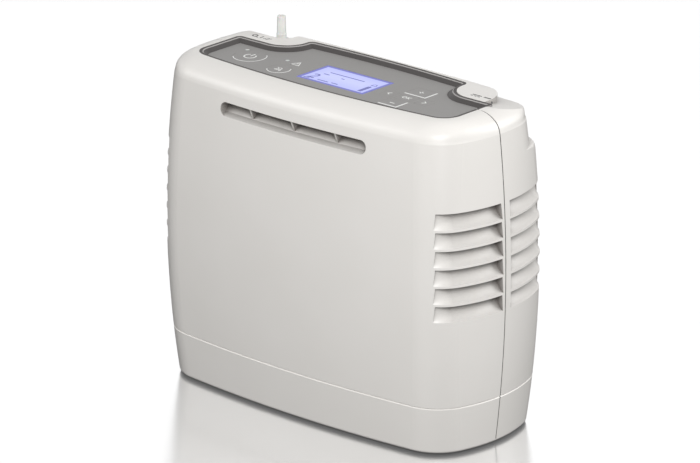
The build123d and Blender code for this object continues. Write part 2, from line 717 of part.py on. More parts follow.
def seal_slab(low, high):
    """Slice of the parting joint that a seal fills."""
    half = PART_GAP / 2 - HAIR_GAP
    return box((-FAR, FAR), (PART_Y - half, PART_Y + half), (low, high))


def housing_seal():
    """Two dark cords in the parting line, from the pack up to the panel recess."""
    low = PACK_H + SEAM_GAP / 2
    form = barrel(SEAL_IN, low, EASE_H) + crown(SEAL_IN, RIM_FRONT)
    hollow = barrel(WALL, low - 1, EASE_H) + crown(WALL, RIM_FRONT)
    cords = form & seal_slab(BODY_Z + low, TOP_Z)
    return cords - [hollow, rise(recess_plan(COLLAR_T), (FLANGE_Z, TOP_Z + 1))] - tongue()


def pack_seal():
    top = PACK_H - SEAM_GAP / 2 - PACK_LIP
    form = barrel(SEAL_IN, PACK_EDGE_R, top) - barrel(WALL, WALL, top + 1)
    return form & seal_slab(0, BODY_Z + top)


def tongue():
    """Ribs of the front half that close the parting line from behind."""
    ribs = []
    for low, high in TONGUE_H:
        inner = barrel(WALL + FIT + TONGUE_T, low - 1, high + 1)
        root = barrel(WALL - TONGUE_T / 2, low, high, rings=2)
        root &= box((-FAR, FAR), (PART_Y - 3 * TONGUE_T, PART_Y - PART_GAP / 2), (-FAR, FAR))
        tip = barrel(WALL + FIT, low, high, rings=2)
        tip &= box((-FAR, FAR), (PART_Y - 3 * TONGUE_T, PART_Y + TONGUE_REACH), (-FAR, FAR))
        ribs.append(root + tip - inner)
    return ribs


def door_plan(grow):
    """Rounded rectangle of the filter door, seen along the depth."""
    return Pos(0, BODY_Z + DOOR_MID_H) * RectangleRounded(DOOR_W + 2 * grow, DOOR_H + 2 * grow,
                                                          DOOR_R + grow)


def rear_shell_model(plan):
    hole = door_plan(DOOR_GAP)
    tray_y = tray_depth()
    tray = upright(door_plan(DOOR_GAP + TRAY_T), (tray_y, FAR / 4))
    boss = post(NOZZLE_X, NOZZLE_Y, (TOP_Z - BOSS_UNDER, TOP_Z), BOSS_UNDER_R)
    inlet_z = BODY_Z + INLET_H
    inlet_pad = rod_y(INLET_X, (inlet_seat_y(), FAR / 4), inlet_z, INLET_FLANGE_R + 1)
    cuts = both_ends(louvre_cuts(False)) + post_holes(False)
    cuts.append(upright(hole, (tray_y + TRAY_T, FAR / 4)))
    cuts.append(post(NOZZLE_X, NOZZLE_Y, (TOP_Z - 2 * BOSS_UNDER, TOP_Z + 1), NOZZLE_SHANK_R + FIT))
    cuts.append(flange_relief())
    cuts.append(rod_y(INLET_X, (0, FAR / 4), inlet_z, INLET_BODY_R + FIT))
    body = shell(False, plan, [tray, boss, inlet_pad] + wall_posts(False), cuts)
    low = DOOR_MID_H - DOOR_H
    seat = barrel(DOOR_T + FIT, low, low + 2 * DOOR_H) - barrel(DOOR_T + FIT + SEAT_RIM_T, low - 1,
                                                               low + 2 * DOOR_H + 1)
    ring = upright(door_plan(DOOR_GAP + TRAY_T / 2) - door_plan(-SEAT_RIM), (0, FAR / 4))
    vents = [upright(Pos(0, BODY_Z + DOOR_MID_H + dz) * Rectangle(DOOR_W - 2 * DOOR_R, 2 * TRAY_T),
                     (0, FAR / 4)) for dz in door_rows(5, 10.0)]
    top = post(NOZZLE_X, NOZZLE_Y, (TOP_Z - BOSS_UNDER, TOP_Z - NOZZLE_SEAT), BOSS_R)
    bore = post(NOZZLE_X, NOZZLE_Y, (0, TOP_Z), NOZZLE_SHANK_R + FIT)
    return body - vents + (seat & ring) - door_tabs(HEAD_FIT) + (top - bore)


def inlet_seat_y():
    """Depth of the flat pad that the inlet's flange lies on."""
    wall = half_depth(INLET_H) - SET_BACK - bow(INLET_X) - WALL
    return wall - 2.0


def door_rows(count, pitch):
    return [(k - (count - 1) / 2) * pitch for k in range(count)]


def door_tabs(grow):
    """Two tabs that hold the filter door, or their slots."""
    y = half_depth(DOOR_MID_H)
    tabs = []
    for dz in (-DOOR_H / 2 + SEAT_RIM / 2, DOOR_H / 2 - SEAT_RIM / 2):
        z = BODY_Z + DOOR_MID_H + dz
        half_t = SEAT_RIM / 4 + grow
        reach = y - DOOR_T - SEAT_RIM_T - 2.5 - 2 * grow
        tabs.append(box((-5 - grow, 5 + grow), (reach, y - DOOR_T / 2), (z - half_t, z + half_t)))
    return tabs


def filter_door():
    low = DOOR_MID_H - DOOR_H
    skin = barrel(0, low, low + 2 * DOOR_H) - barrel(DOOR_T, low - 1, low + 2 * DOOR_H + 1)
    door = skin & upright(door_plan(0), (0, FAR / 4))
    cuts = []
    for dz in door_rows(DOOR_SLOTS, DOOR_SLOT_PITCH):
        for dx in (-DOOR_SLOT_W / 2 - 4, DOOR_SLOT_W / 2 + 4):
            slot = Pos(dx, BODY_Z + DOOR_MID_H + dz) * SlotOverall(DOOR_SLOT_W, DOOR_SLOT_H)
            cuts.append(upright(slot, (0, FAR / 4)))
    y = half_depth(DOOR_MID_H)
    pull = Pos(0, y + DOOR_PULL_R - DOOR_T / 2, BODY_Z + DOOR_MID_H - DOOR_H / 2 + 6) * Sphere(DOOR_PULL_R)
    return door - cuts - pull + door_tabs(0)


def tray_depth():
    """Depth of the back of the filter tray."""
    seat = half_depth(DOOR_MID_H) - DOOR_T - SEAT_RIM_T - bow(DOOR_W / 2)
    return seat - 1.0 - FOAM_T - TRAY_T


def filter_foam():
    y = tray_depth() + TRAY_T + HAIR_GAP
    return upright(door_plan(-SEAT_RIM), (y, y + FOAM_T))


def screw(r, length, head_r, head_t):
    """A socket-head screw that points up, its head's underside at zero."""
    body = post(0, 0, (-head_t, length), r) + post(0, 0, (-head_t, 0), head_r)
    return body - rise(RegularPolygon(head_r / 2, 6), (-head_t - 1, -head_t / 2))


def panel_bezel():
    """Dark ring round the panel: a flat top edge and a slope down to the overlay."""
    top = TOP_Z - BEZEL_STAND_IN
    ring = rise(recess_plan(-PANEL_FIT), (FLANGE_Z, top))
    foot = recess_plan(-PANEL_FIT - BEZEL_WALL)
    brow = recess_plan(-PANEL_FIT - BEZEL_LIP)
    slope = Solid.make_loft([Pos(0, 0, FLOOR_Z) * foot.outer_wire(), Pos(0, 0, top) * brow.outer_wire()],
                            ruled=True)
    well = rise(foot, (OVERLAY_Z, FLOOR_Z))
    opening = rise(recess_plan(-PANEL_FIT - BEZEL_WALL - BEZEL_FLANGE), (FLANGE_Z - 1, top))
    posts = [post(x, y, (BOARD_Z, FLANGE_Z + 0.5), BEZEL_POST_R) for x, y in panel_posts()]
    holes = [post(x, y, (BOARD_Z - 1, FLANGE_Z), SMALL_SCREW_R + FIT / 3) for x, y in panel_posts()]
    return ring - [well, slope, opening] + posts - holes


def panel_posts():
    """Centres of the bezel's six screw posts."""
    inset = SEAT_W + BEZEL_POST_R + 0.2
    front = [(x, bow(x) - RECESS_FRONT + inset) for x in (-60.0, 0.0, 60.0)]
    return front + [(x, RECESS_BACK - bow(x) - inset) for x in (-45.0, 0.0, 45.0)]


def key_shapes():
    """Name, plan and centre of every key."""
    keys = []
    for name, (x, y, r) in (("power_key", POWER_KEY), ("silence_key", SILENCE_KEY)):
        keys.append((name, lambda grow, x=x, y=y, r=r: Pos(x, y) * Circle(r + grow), (x, y)))
    for name, (x, y, w, d) in (("plus_key", PLUS_KEY), ("minus_key", MINUS_KEY), ("ok_key", OK_KEY),
                               ("left_key", LEFT_KEY), ("right_key", RIGHT_KEY)):
        keys.append((name, lambda grow, x=x, y=y, w=w, d=d: Pos(x, y) * RectangleRounded(
            w + 2 * grow, d + 2 * grow, KEY_CORNER_R + max(grow, 0)), (x, y)))
    return keys


def control_overlay():
    plate = rise(recess_plan(-2 * PANEL_FIT - BEZEL_WALL), (OVERLAY_Z, FLOOR_Z))
    holes = [rise(shape(KEY_GAP), (OVERLAY_Z - 1, FLOOR_Z + 1)) for _, shape, _ in key_shapes()]
    holes.append(window_block(PANEL_FIT / 2, (OVERLAY_Z - 1, FLOOR_Z + 1)))
    holes += [post(x, y, (OVERLAY_Z - 1, FLOOR_Z + 1), LIGHT_R + PANEL_FIT) for x, y in LIGHTS]
    return plate - holes


def window_block(border, z):
    """A block under the display opening, with a border round it."""
    half_w, half_d = WINDOW_W / 2 + border, WINDOW_D / 2 + border
    return box((WINDOW_X - half_w, WINDOW_X + half_w), (WINDOW_Y - half_d, WINDOW_Y + half_d), z)


def key(shape, centre):
    """A key: its cap, the rim that holds it under the overlay, and its stem."""
    under = OVERLAY_Z - CLOSE_FIT
    cap = rise(shape(0), (under - KEY_FLANGE, FLOOR_Z))
    rim = rise(shape(KEY_FLANGE), (under - KEY_FLANGE, under))
    return cap + rim + post(*centre, (under - KEY_FLANGE - KEY_STEM_L, under), KEY_STEM_R)


def tact_switches():
    bodies = []
    for _, _, (x, y) in key_shapes():
        half = SWITCH_W / 2
        base = box((x - half, x + half), (y - half, y + half), (BOARD_Z, BOARD_Z + SWITCH_H))
        bodies.append(base + post(x, y, (BOARD_Z, BOARD_Z + SWITCH_H + SWITCH_TOP), KEY_STEM_R - CLOSE_FIT))
    return Compound(bodies)


def display_board():
    board = rise(recess_plan(-BOARD_INSET), (BOARD_Z - BOARD_T, BOARD_Z))
    holes = [post(x, y, (BOARD_Z - 3, BOARD_Z + 1), SMALL_SCREW_R + FIT) for x, y in panel_posts()]
    back = BOARD_Z - BOARD_T
    return board - holes + [box(x, y, (back - h, back)) for x, y, h in DISPLAY_BOARD_PARTS]


def oxygen_nozzle():
    """Push-on hose nozzle with its flange and inner tail."""
    seat = TOP_Z - NOZZLE_SEAT
    root = seat + NOZZLE_ROOT_H
    tip = TOP_Z + NOZZLE_TIP
    flange = TOP_Z - BOSS_UNDER - SEAL_T
    tail = flange - NOZZLE_FLANGE_T
    profile = Polyline((0, tail - NOZZLE_TAIL), (BARB_R, tail - NOZZLE_TAIL), (BARB_R, tail),
                       (NOZZLE_FLANGE_R, tail), (NOZZLE_FLANGE_R, flange), (NOZZLE_SHANK_R, flange),
                       (NOZZLE_SHANK_R, seat), (NOZZLE_ROOT_R, seat), (NOZZLE_ROOT_R, root),
                       (NOZZLE_NECK_R, root + 0.4), (NOZZLE_TIP_R, tip - NOZZLE_EDGE),
                       (NOZZLE_TIP_R - NOZZLE_EDGE, tip),
                       (0, tip), close=True)
    spin = Plane(origin=(NOZZLE_X, NOZZLE_Y, 0), x_dir=(1, 0, 0), z_dir=(0, -1, 0))
    body = revolve(spin * make_face(profile), Axis((NOZZLE_X, NOZZLE_Y, 0), (0, 0, 1)), 360)
    return body - [post(NOZZLE_X, NOZZLE_Y, (tail - NOZZLE_TAIL - 1, tip + 1), NOZZLE_BORE_R), flange_flat()]


def flange_flat(room=0.0):
    """What the flat takes off the nozzle's flange and its seal."""
    z = (TOP_Z - BOSS_UNDER - SEAL_T - NOZZLE_FLANGE_T - 1, TOP_Z - BOSS_UNDER)
    return box((NOZZLE_X - 10, NOZZLE_X + 10), (NOZZLE_Y + NOZZLE_FLAT + room, NOZZLE_Y + 10), z)


def flange_relief():
    """Room for the flange and its seal, in the wall where the shoulder leans in."""
    z = (TOP_Z - BOSS_UNDER - SEAL_T - NOZZLE_FLANGE_T, TOP_Z - BOSS_UNDER)
    return post(NOZZLE_X, NOZZLE_Y, z, NOZZLE_FLANGE_R + FIT) - flange_flat(FIT)


def nozzle_seal():
    z = (TOP_Z - BOSS_UNDER - SEAL_T, TOP_Z - BOSS_UNDER)
    ring = post(NOZZLE_X, NOZZLE_Y, z, NOZZLE_FLANGE_R - 0.2)
    return ring - [post(NOZZLE_X, NOZZLE_Y, (z[0] - 1, z[1] + 1), NOZZLE_SHANK_R + HAIR_GAP), flange_flat()]


def power_inlet():
    """Round four-pin supply socket."""
    z = BODY_Z + INLET_H
    seat = inlet_seat_y()
    face = half_depth(INLET_H) - SET_BACK - bow(INLET_X) + 0.6
    body = rod_y(INLET_X, (face - INLET_BODY_L, face), z, INLET_BODY_R)
    body += rod_y(INLET_X, (seat - INLET_FLANGE_T, seat), z, INLET_FLANGE_R)
    body -= rod_y(INLET_X, (face - INLET_BORE_L, face + 1), z, INLET_BORE_R)
    pins = []
    for k in range(4):
        turn = radians(45 + 90 * k)
        x = INLET_X + INLET_PIN_RING * cos(turn)
        floor = face - INLET_BORE_L
        pins.append(rod_y(x, (floor - 0.5, floor + INLET_PIN_L), z + INLET_PIN_RING * sin(turn), INLET_PIN_R))
    return body + pins


def pack_form():
    """Outside of the battery pack: rounded toe, barrel sides, chamfered upper edge."""
    top = PACK_H - SEAM_GAP / 2
    toe = []
    for k in range(4):
        turn = radians(90 - 30 * k)
        toe.append(ring_at(PACK_EDGE_R * (1 - sin(turn)), PACK_EDGE_R * (1 - cos(turn))))
    edge = Solid.make_loft([ring_at(top - PACK_LIP, 0), ring_at(top, PACK_LIP)], ruled=True)
    return Solid.make_loft(toe) + [barrel(0, PACK_EDGE_R, top - PACK_LIP), edge]


def lid_posts(front):
    z = (BODY_Z + WALL / 2, LID_TOP_Z - LID_T)
    return [post(x, y, z, LID_POST_R) for x, y in LID_POSTS if (y < 0) == front]


def pack_shell(front):
    """One half of the battery pack."""
    way = -1 if front else 1
    floor = BODY_Z + WALL
    ribs = lid_posts(front)
    for x in PACK_BOARD_X:
        mid = x + (4 if x == PACK_BOARD_X[0] else -4)
        y = sorted((way * 6, way * (PACK_BOARD_HALF_D - 2)))
        ribs.append(box((mid - 1.5, mid + 1.5), y, (BODY_Z + 1, floor + PACK_BOARD_LIFT)))
    cuts = [half_space(front)]
    cuts += [post(x, way * FOOT_Y, (0, BODY_Z + FOOT_SUNK), FOOT_R + CLOSE_FIT) for x in (-FOOT_X, FOOT_X)]
    cuts += [post(x, y, (LID_TOP_Z - LID_T - SCREW_L, LID_TOP_Z), SCREW_R + FIT / 3)
             for x, y in LID_POSTS if (y < 0) == front]
    if not front:
        rib_y = (SPRING_RIB_Y - SPRING_RIB_T, SPRING_RIB_Y)
        ribs.append(box((-10, 10), rib_y, (BODY_Z + 1, BODY_Z + LATCH_MID_H + 5)))
        z = (BODY_Z + LATCH_MID_H - LATCH_H / 2, BODY_Z + LATCH_MID_H + LATCH_H / 2)
        cuts.append(box((-LATCH_W / 2, LATCH_W / 2), (LATCH_ARM_Y - 2, FAR / 4), z))
    hollow = barrel(WALL, WALL, PACK_H + 1) - ribs
    return pack_form() - hollow - cuts


def pack_lid():
    high = LID_TOP_Z - BODY_Z
    lid = barrel(WALL + FIT, high - LID_T, high, rings=2)
    bosses = [post(x, 0, (LID_TOP_Z - LID_T / 2, LID_TOP_Z + PACK_BOSS_H), PACK_BOSS_R)
              for x in (-PACK_BOSS_X, PACK_BOSS_X)]
    half_w, half_d = LINK_W / 2 + FIT, LINK_D / 2 + FIT
    z = (LID_TOP_Z - 2 * LID_T, LID_TOP_Z + 1)
    holes = [box((LINK_X - half_w, LINK_X + half_w), (-half_d, half_d), z)]
    slot_y = (LATCH_ARM_Y - LATCH_ARM_T - LATCH_TRAVEL - SLIDE_FIT, LATCH_ARM_Y + SLIDE_FIT)
    half = LATCH_ARM_W / 2 + SLIDE_FIT
    holes.append(box((-half, half), slot_y, z))
    for x, y in LID_POSTS:
        holes.append(post(x, y, z, SCREW_R + FIT))
        holes.append(post(x, y, (LID_TOP_Z - LID_HEAD_T, LID_TOP_Z + 1), HEAD_R + HEAD_FIT))
    return lid + bosses - holes


def cell_centres():
    z = BODY_Z + WALL + CELL_FLOOR + CELL_R
    ends = [CELL_X + k * (CELL_L + CELL_GAP) for k in range(2)]
    return [(x, CELL_Y + row * CELL_PITCH, z) for x in ends for row in range(CELL_ROWS)]


def battery_cells():
    cells = []
    for x, y, z in cell_centres():
        can = rod_x((x + 1.2, x + CELL_L), y, z, CELL_R)
        cells.append(can + rod_x((x, x + 2), y, z, 3.0))
    return Compound(cells)


def cell_holder():
    """Three combs that carry the cells, joined by rails between the rows."""
    z = BODY_Z + WALL
    near = CELL_Y - CELL_R + 1
    far = CELL_Y + (CELL_ROWS - 1) * CELL_PITCH + CELL_R - 1
    combs = [box((x - HOLDER_T / 2, x + HOLDER_T / 2), (near, far), (z, z + CELL_FLOOR + CELL_R - 1))
             for x in HOLDER_X]
    rails = [box((HOLDER_X[0], HOLDER_X[-1]), (y - 1.5, y + 1.5), (z, z + 1.6))
             for y in [CELL_Y + (row + 0.5) * CELL_PITCH for row in range(CELL_ROWS - 1)]]
    wells = [rod_x((x - 2, x + CELL_L + 2), y, zc, CELL_R + CLOSE_FIT) for x, y, zc in cell_centres()]
    return combs[0] + combs[1:] + rails - wells


def pack_board():
    z = BODY_Z + WALL + PACK_BOARD_LIFT
    half = PACK_BOARD_HALF_D
    board = box(PACK_BOARD_X, (-half, half), (z, z + BOARD_T))
    top = z + BOARD_T
    half_chip = PACK_CHIP_W / 2
    chips = [box(PACK_CHIP_X, (y - half_chip, y + half_chip), (top, top + PACK_CHIP_T))
             for y in (-PACK_CHIP_Y, PACK_CHIP_Y)]
    return board + chips + post(*PACK_COIL, (top, top + PACK_COIL_H), PACK_COIL_R)


def blade_centres():
    return [LINK_X + d for d in door_rows(BLADES, BLADE_PITCH)]


def pack_socket():
    """Socket of the pack that takes the unit's blades."""
    z = (BODY_Z + WALL + PACK_BOARD_LIFT + BOARD_T, LID_TOP_Z - HAIR_GAP)
    body = box((LINK_X - LINK_W / 2, LINK_X + LINK_W / 2), (-LINK_D / 2, LINK_D / 2), z)
    half_t, half_w = BLADE_T / 2 + SLIDE_FIT, BLADE_W / 2 + SLIDE_FIT
    low = CHASSIS_Z - BLADE_REACH - 1
    return body - [box((x - half_t, x + half_t), (-half_w, half_w), (low, LID_TOP_Z + 1))
                   for x in blade_centres()]


def unit_plug():
    """Insulating body of the plug that hangs through the chassis."""
    half_w, half_d = LINK_W / 2 - FIT, LINK_D / 2 - FIT
    body = box((LINK_X - half_w, LINK_X + half_w), (-half_d, half_d), (CHASSIS_Z + 0.2, DECK_Z + 1))
    half_w, half_d = half_w + LINK_FLANGE, half_d + LINK_FLANGE
    flange = box((LINK_X - half_w, LINK_X + half_w), (-half_d, half_d), (DECK_Z, DECK_Z + LINK_FLANGE_H))
    return body + flange - plug_blades().solids()


def plug_blades():
    z = (CHASSIS_Z - BLADE_REACH, DECK_Z + LINK_FLANGE_H / 2)
    return Compound([box((x - BLADE_T / 2, x + BLADE_T / 2), (-BLADE_W / 2, BLADE_W / 2), z)
                     for x in blade_centres()])


def pack_latch():
    """Push button, the block behind it and the arm whose nose sits over the chassis."""
    mid = BODY_Z + LATCH_MID_H
    z = (mid - LATCH_H / 2 + SLIDE_FIT, mid + LATCH_H / 2 - SLIDE_FIT)
    half = LATCH_W / 2 - SLIDE_FIT
    skin = barrel(0.2, 5, 25) - barrel(WALL, 4, 26)
    button = skin & box((-half, half), (0, FAR / 4), z)
    arm_y = (LATCH_ARM_Y - LATCH_ARM_T, LATCH_ARM_Y)
    half = LATCH_ARM_W / 2
    block = box((-half, half), (arm_y[0], half_depth(LATCH_MID_H) - WALL + 0.3), (z[0] + 1, z[1] - 1))
    nose_z = DECK_Z + LATCH_SHORT
    arm = box((-half, half), arm_y, (z[0] + 1, nose_z + LATCH_NOSE_H))
    profile = Polyline((LATCH_ARM_Y - 1, nose_z), (LATCH_ARM_Y + LATCH_NOSE, nose_z),
                       (LATCH_ARM_Y + LATCH_NOSE, nose_z + 0.8), (LATCH_ARM_Y, nose_z + LATCH_NOSE_H),
                       (LATCH_ARM_Y - 1, nose_z + LATCH_NOSE_H), close=True)
    nose = extrude(Plane.YZ * make_face(profile), half - 1, both=True)
    return button + [block, arm, nose]


def latch_spring():
    start = LATCH_ARM_Y - LATCH_ARM_T - SPRING_WIRE_R
    pitch = (SPRING_L - 2 * SPRING_WIRE_R) / SPRING_TURNS
    coil = Helix(pitch, SPRING_L - 2 * SPRING_WIRE_R, SPRING_R)
    wire = Plane(origin=coil @ 0, z_dir=coil % 0) * Circle(SPRING_WIRE_R)
    spring = sweep(wire, path=coil, is_frenet=True)
    return Pos(0, start, BODY_Z + LATCH_MID_H) * Rot(90, 0, 0) * spring


def chassis():
    """Floor of the unit, with the two walls that carry the main board and the fan."""
    low = CHASSIS_Z - BODY_Z
    plate = barrel(WALL + CHASSIS_FIT, low, low + CHASSIS_T, rings=2)
    y = (-FRAME_HALF_D, FRAME_HALF_D)
    adds = [box((FRAME_X[0], FRAME_X[0] + FRAME_T), y, (DECK_Z - 1, FRAME_TOP)),
            box((FRAME_X[1] - FRAME_T, FRAME_X[1]), y, (DECK_Z - 1, FRAME_TOP))]
    for x, y in board_holes():
        adds.append(post(x, y, (FRAME_TOP - 12, FRAME_TOP), FRAME_BOSS_R))
    for dy, dz in fan_holes():
        adds.append(rod_x((FRAME_X[1] - 1, FAN_X[0]), dy, FAN_Z + dz, SPACER_R))
    holes = [box((FRAME_X[0] - 1, FRAME_X[0] + 4), (-22, 22), (DECK_Z + 6, FRAME_TOP - 16)),
             rod_x((FRAME_X[1] - 4, FRAME_X[1] + 1), 0, FAN_Z, FAN_BORE_R - 3),
             box((FRAME_X[1] - 4, FRAME_X[1] + 1), (-22, 22), (DECK_Z + 6, FAN_Z - FAN_HALF))]
    for x, y in BOSS_POSTS:
        holes.append(post(x, y, (CHASSIS_Z - 1, DECK_Z + 1), SCREW_R + FIT))
        holes.append(post(x, y, (CHASSIS_Z - 1, CHASSIS_Z + HEAD_T + HEAD_SUNK), HEAD_R + HEAD_FIT))
    for x in (-PACK_BOSS_X, PACK_BOSS_X):
        holes.append(post(x, 0, (CHASSIS_Z - 1, DECK_Z + 1), PACK_BOSS_R + SLIDE_FIT))
    half_w, half_d = LINK_W / 2, LINK_D / 2
    z = (CHASSIS_Z - 1, DECK_Z + 1)
    holes.append(box((LINK_X - half_w, LINK_X + half_w), (-half_d, half_d), z))
    half = LATCH_ARM_W / 2 + SLIDE_FIT
    slot_y = (LATCH_ARM_Y - LATCH_ARM_T - LATCH_TRAVEL - SLIDE_FIT,
              LATCH_ARM_Y + LATCH_NOSE + LATCH_SHORT)
    holes.append(box((-half, half), slot_y, z))
    for x, y in board_holes():
        holes.append(post(x, y, (FRAME_TOP - SCREW_L, FRAME_TOP + 1), SCREW_R + FIT / 3))
    for dy, dz in fan_holes():
        holes.append(rod_x((FRAME_X[1] - 4, FAN_X[0] + 1), dy, FAN_Z + dz, SCREW_R + FIT / 3))
    return plate + adds - holes


def board_holes():
    x0, x1 = FRAME_X[0] + FRAME_BOSS_R, FRAME_X[1] - FRAME_BOSS_R
    return [(x, y) for x in (x0, x1) for y in (-FRAME_BOSS_Y, FRAME_BOSS_Y)]


def fan_holes():
    return [(dy, dz) for dy in (-FAN_HOLE, FAN_HOLE) for dz in (-FAN_HOLE, FAN_HOLE)]


def main_board():
    z = FRAME_TOP
    board = box(FRAME_X, (-FRAME_HALF_D, FRAME_HALF_D), (z, z + BOARD_T))
    holes = [post(x, y, (z - 1, z + 3), SCREW_R + FIT) for x, y in board_holes()]
    top = z + BOARD_T
    parts = [box(x, y, (top, top + h)) for x, y, h in MAIN_BOARD_PARTS]
    parts += [post(*centre, (top, top + CAPACITOR_H), CAPACITOR_R) for centre in CAPACITORS]
    return board - holes + parts


def chassis_screws():
    """Screws that hold the chassis in the shell, the main board on it and the fan beside it."""
    under_head = CHASSIS_Z + HEAD_T + HEAD_SUNK
    screws = [Pos(x, y, under_head) * screw(SCREW_R, SCREW_L, HEAD_R, HEAD_T) for x, y in BOSS_POSTS]
    screws += [Pos(x, y, FRAME_TOP + BOARD_T) * Rot(180, 0, 0) * screw(SCREW_R, SCREW_L - 1, HEAD_R, HEAD_T)
               for x, y in board_holes()]
    fan_screw = Rot(0, -90, 0) * screw(SCREW_R, FAN_X[1] - FRAME_X[1] + 2, HEAD_R, HEAD_T)
    screws += [Pos(FAN_X[1], dy, FAN_Z + dz) * fan_screw for dy, dz in fan_holes()]
    return Compound(screws)


def buzzer():
    z = FRAME_TOP + BOARD_T
    case = post(*BUZZER_AT, (z, z + BUZZER_H), BUZZER_R)
    return case - post(*BUZZER_AT, (z + BUZZER_H - 1, z + BUZZER_H + 1), BUZZER_R / 4)


def compressor_crankcase():
    """Crankcase on its sled, with a cover on the fan's side."""
    sled = box(SLED_X, (-SLED_HALF_D, SLED_HALF_D), (SLED_Z, SLED_Z + SLED_T))
    saddle = box(CRANK_X, (-CRANK_R + 4, CRANK_R - 4), (SLED_Z, CRANK_Z))
    case = rod_x(CRANK_X, 0, CRANK_Z, CRANK_R)
    cover = rod_x((CRANK_X[1] - 1, CRANK_X[1] + 4), 0, CRANK_Z, CRANK_R - 6)
    holes = [post(x, y, (SLED_Z - 1, SLED_Z + SLED_T + 1), 2.2) for x, y in mount_centres()]
    return sled + [saddle, case, cover] - holes


def mount_centres():
    return [(x, y) for x in MOUNT_X for y in (-MOUNT_Y, MOUNT_Y)]


def compressor_mounts():
    mounts = []
    for x, y in mount_centres():
        waist = post(x, y, (DECK_Z, SLED_Z), MOUNT_R) - (post(x, y, (DECK_Z + 3, SLED_Z - 3), MOUNT_R + 1)
                                                         - post(x, y, (DECK_Z, SLED_Z), MOUNT_R - 1.2))
        mounts.append(waist + post(x, y, (SLED_Z - 1, SLED_Z + SLED_T + 1.5), 2.0))
    return Compound(mounts)


def compressor_motor():
    can = rod_x(MOTOR_X, 0, CRANK_Z, MOTOR_R - 1)
    bands = [rod_x((x, x + 3), 0, CRANK_Z, MOTOR_R) for x in (MOTOR_X[0] + 3, MOTOR_X[1] - 8)]
    return can + bands


def compressor_cylinders():
    case = rod_x(CRANK_X, 0, CRANK_Z, CRANK_R)
    top = CRANK_Z + CRANK_R + LINER_H
    liners = []
    for x in LINER_X:
        liner = post(x, 0, (CRANK_Z + 10, top), LINER_R - 1.5)
        rings = [post(x, 0, (top - 5 * k - 4, top - 5 * k - 1.5), LINER_R) for k in range(4)]
        liners.append(liner + rings - case)
    return Compound([part.solids().sort_by(SortBy.VOLUME)[-1] for part in liners])


def compressor_heads():
    low = CRANK_Z + CRANK_R + LINER_H
    heads = []
    for x in LINER_X:
        block = box((x - HEAD_W / 2, x + HEAD_W / 2), (-HEAD_D / 2, HEAD_D / 2), (low, low + HEAD_H))
        cuts = [box((x - HEAD_W, x + HEAD_W), (y - 1.2, y + 1.2), (low + 6, low + HEAD_H + 1))
                for y in door_rows(HEAD_FINS, HEAD_D / HEAD_FINS)]
        heads.append(block - cuts)
    return Compound(heads)


def sieve_bed(x):
    z = (BED_Z, BED_TOP_Z)
    tube = post(x, BED_Y, z, BED_R) - post(x, BED_Y, (z[0] - 1, z[1] + 1), BED_R - BED_WALL)
    rings = [post(x, BED_Y, (zr, zr + 3), BED_R + 0.6) - post(x, BED_Y, (zr - 1, zr + 4), BED_R - 1)
             for zr in (z[0] + BED_SOCKET + 4, z[1] - BED_SOCKET - 7)]
    return tube + rings


def sieve_fill():
    z = (BED_Z + 4, BED_TOP_Z - 4)
    return Compound([post(x, BED_Y, z, BED_R - BED_WALL - CLOSE_FIT) for x in BED_X])


def manifold(z, socket_z):
    """Block under or over both beds, with a socket for each."""
    mid = (BED_X[0] + BED_X[1]) / 2
    plan = Pos(mid, BED_Y) * SlotCenterToCenter(BED_X[1] - BED_X[0], 2 * BED_R + 1.6)
    sockets = [post(x, BED_Y, socket_z, BED_R + CLOSE_FIT) for x in BED_X]
    return rise(plan, z) - sockets


def product_tank():
    """Ribbed reservoir with a neck for the flow sensor."""
    can = post(TANK_X, TANK_Y, (DECK_Z, TANK_TOP - 4), TANK_R)
    dome = Pos(TANK_X, TANK_Y, TANK_TOP - 2) * Cone(TANK_R, TANK_R - 5, 4)
    neck = post(TANK_X, TANK_Y, (TANK_TOP - 1, TANK_TOP + TANK_NECK_H), TANK_NECK_R)
    hollow = post(TANK_X, TANK_Y, (DECK_Z + 3, TANK_TOP - 5), TANK_R - 1.8)
    bore = post(TANK_X, TANK_Y, (TANK_TOP - 8, TANK_TOP + TANK_NECK_H + 1), 2.0)
    return can + [dome, neck] - [hollow, bore]


def flow_sensor():
    low = TANK_TOP + TANK_NECK_H
    mid = low + SENSOR_H / 2
    body = box((TANK_X - SENSOR_W / 2, TANK_X + SENSOR_W / 2),
               (TANK_Y - SENSOR_D / 2, TANK_Y + SENSOR_D / 2), (low, low + SENSOR_H))
    barb = rod_x((TANK_X - SENSOR_W / 2 - 7, TANK_X - SENSOR_W / 2 + 1), TANK_Y, mid, BARB_R)
    bore = rod_x((TANK_X - SENSOR_W / 2 - 8, TANK_X), TANK_Y, mid, 1.4)
    plug = box((TANK_X + 8, TANK_X + 12), (TANK_Y - 4, TANK_Y + 4), (mid - 4, mid + 4))
    return body + [barb, plug] - bore


def hose(path, bore_r=HOSE_BORE_R, r=HOSE_R):
    """A tube along a path."""
    start = Plane(origin=path @ 0, z_dir=path % 0)
    return sweep(start * Circle(r), path=path) - sweep(start * Circle(bore_r), path=path)


def outlet_hose():
    z = TANK_TOP + TANK_NECK_H + SENSOR_H / 2
    x = TANK_X - SENSOR_W / 2
    tail = TOP_Z - BOSS_UNDER - SEAL_T - NOZZLE_FLANGE_T
    bend = tail - NOZZLE_TAIL - 2
    first = Line((x - 0.3, TANK_Y, z), (x - 7, TANK_Y, z))
    turn = Spline(first @ 1, (NOZZLE_X, NOZZLE_Y, bend), tangents=((-1, 0, 0), (0, 0, 1)))
    last = Line((NOZZLE_X, NOZZLE_Y, bend), (NOZZLE_X, NOZZLE_Y, tail - 0.3))
    return hose(Wire([first.edge(), turn.edge(), last.edge()]))


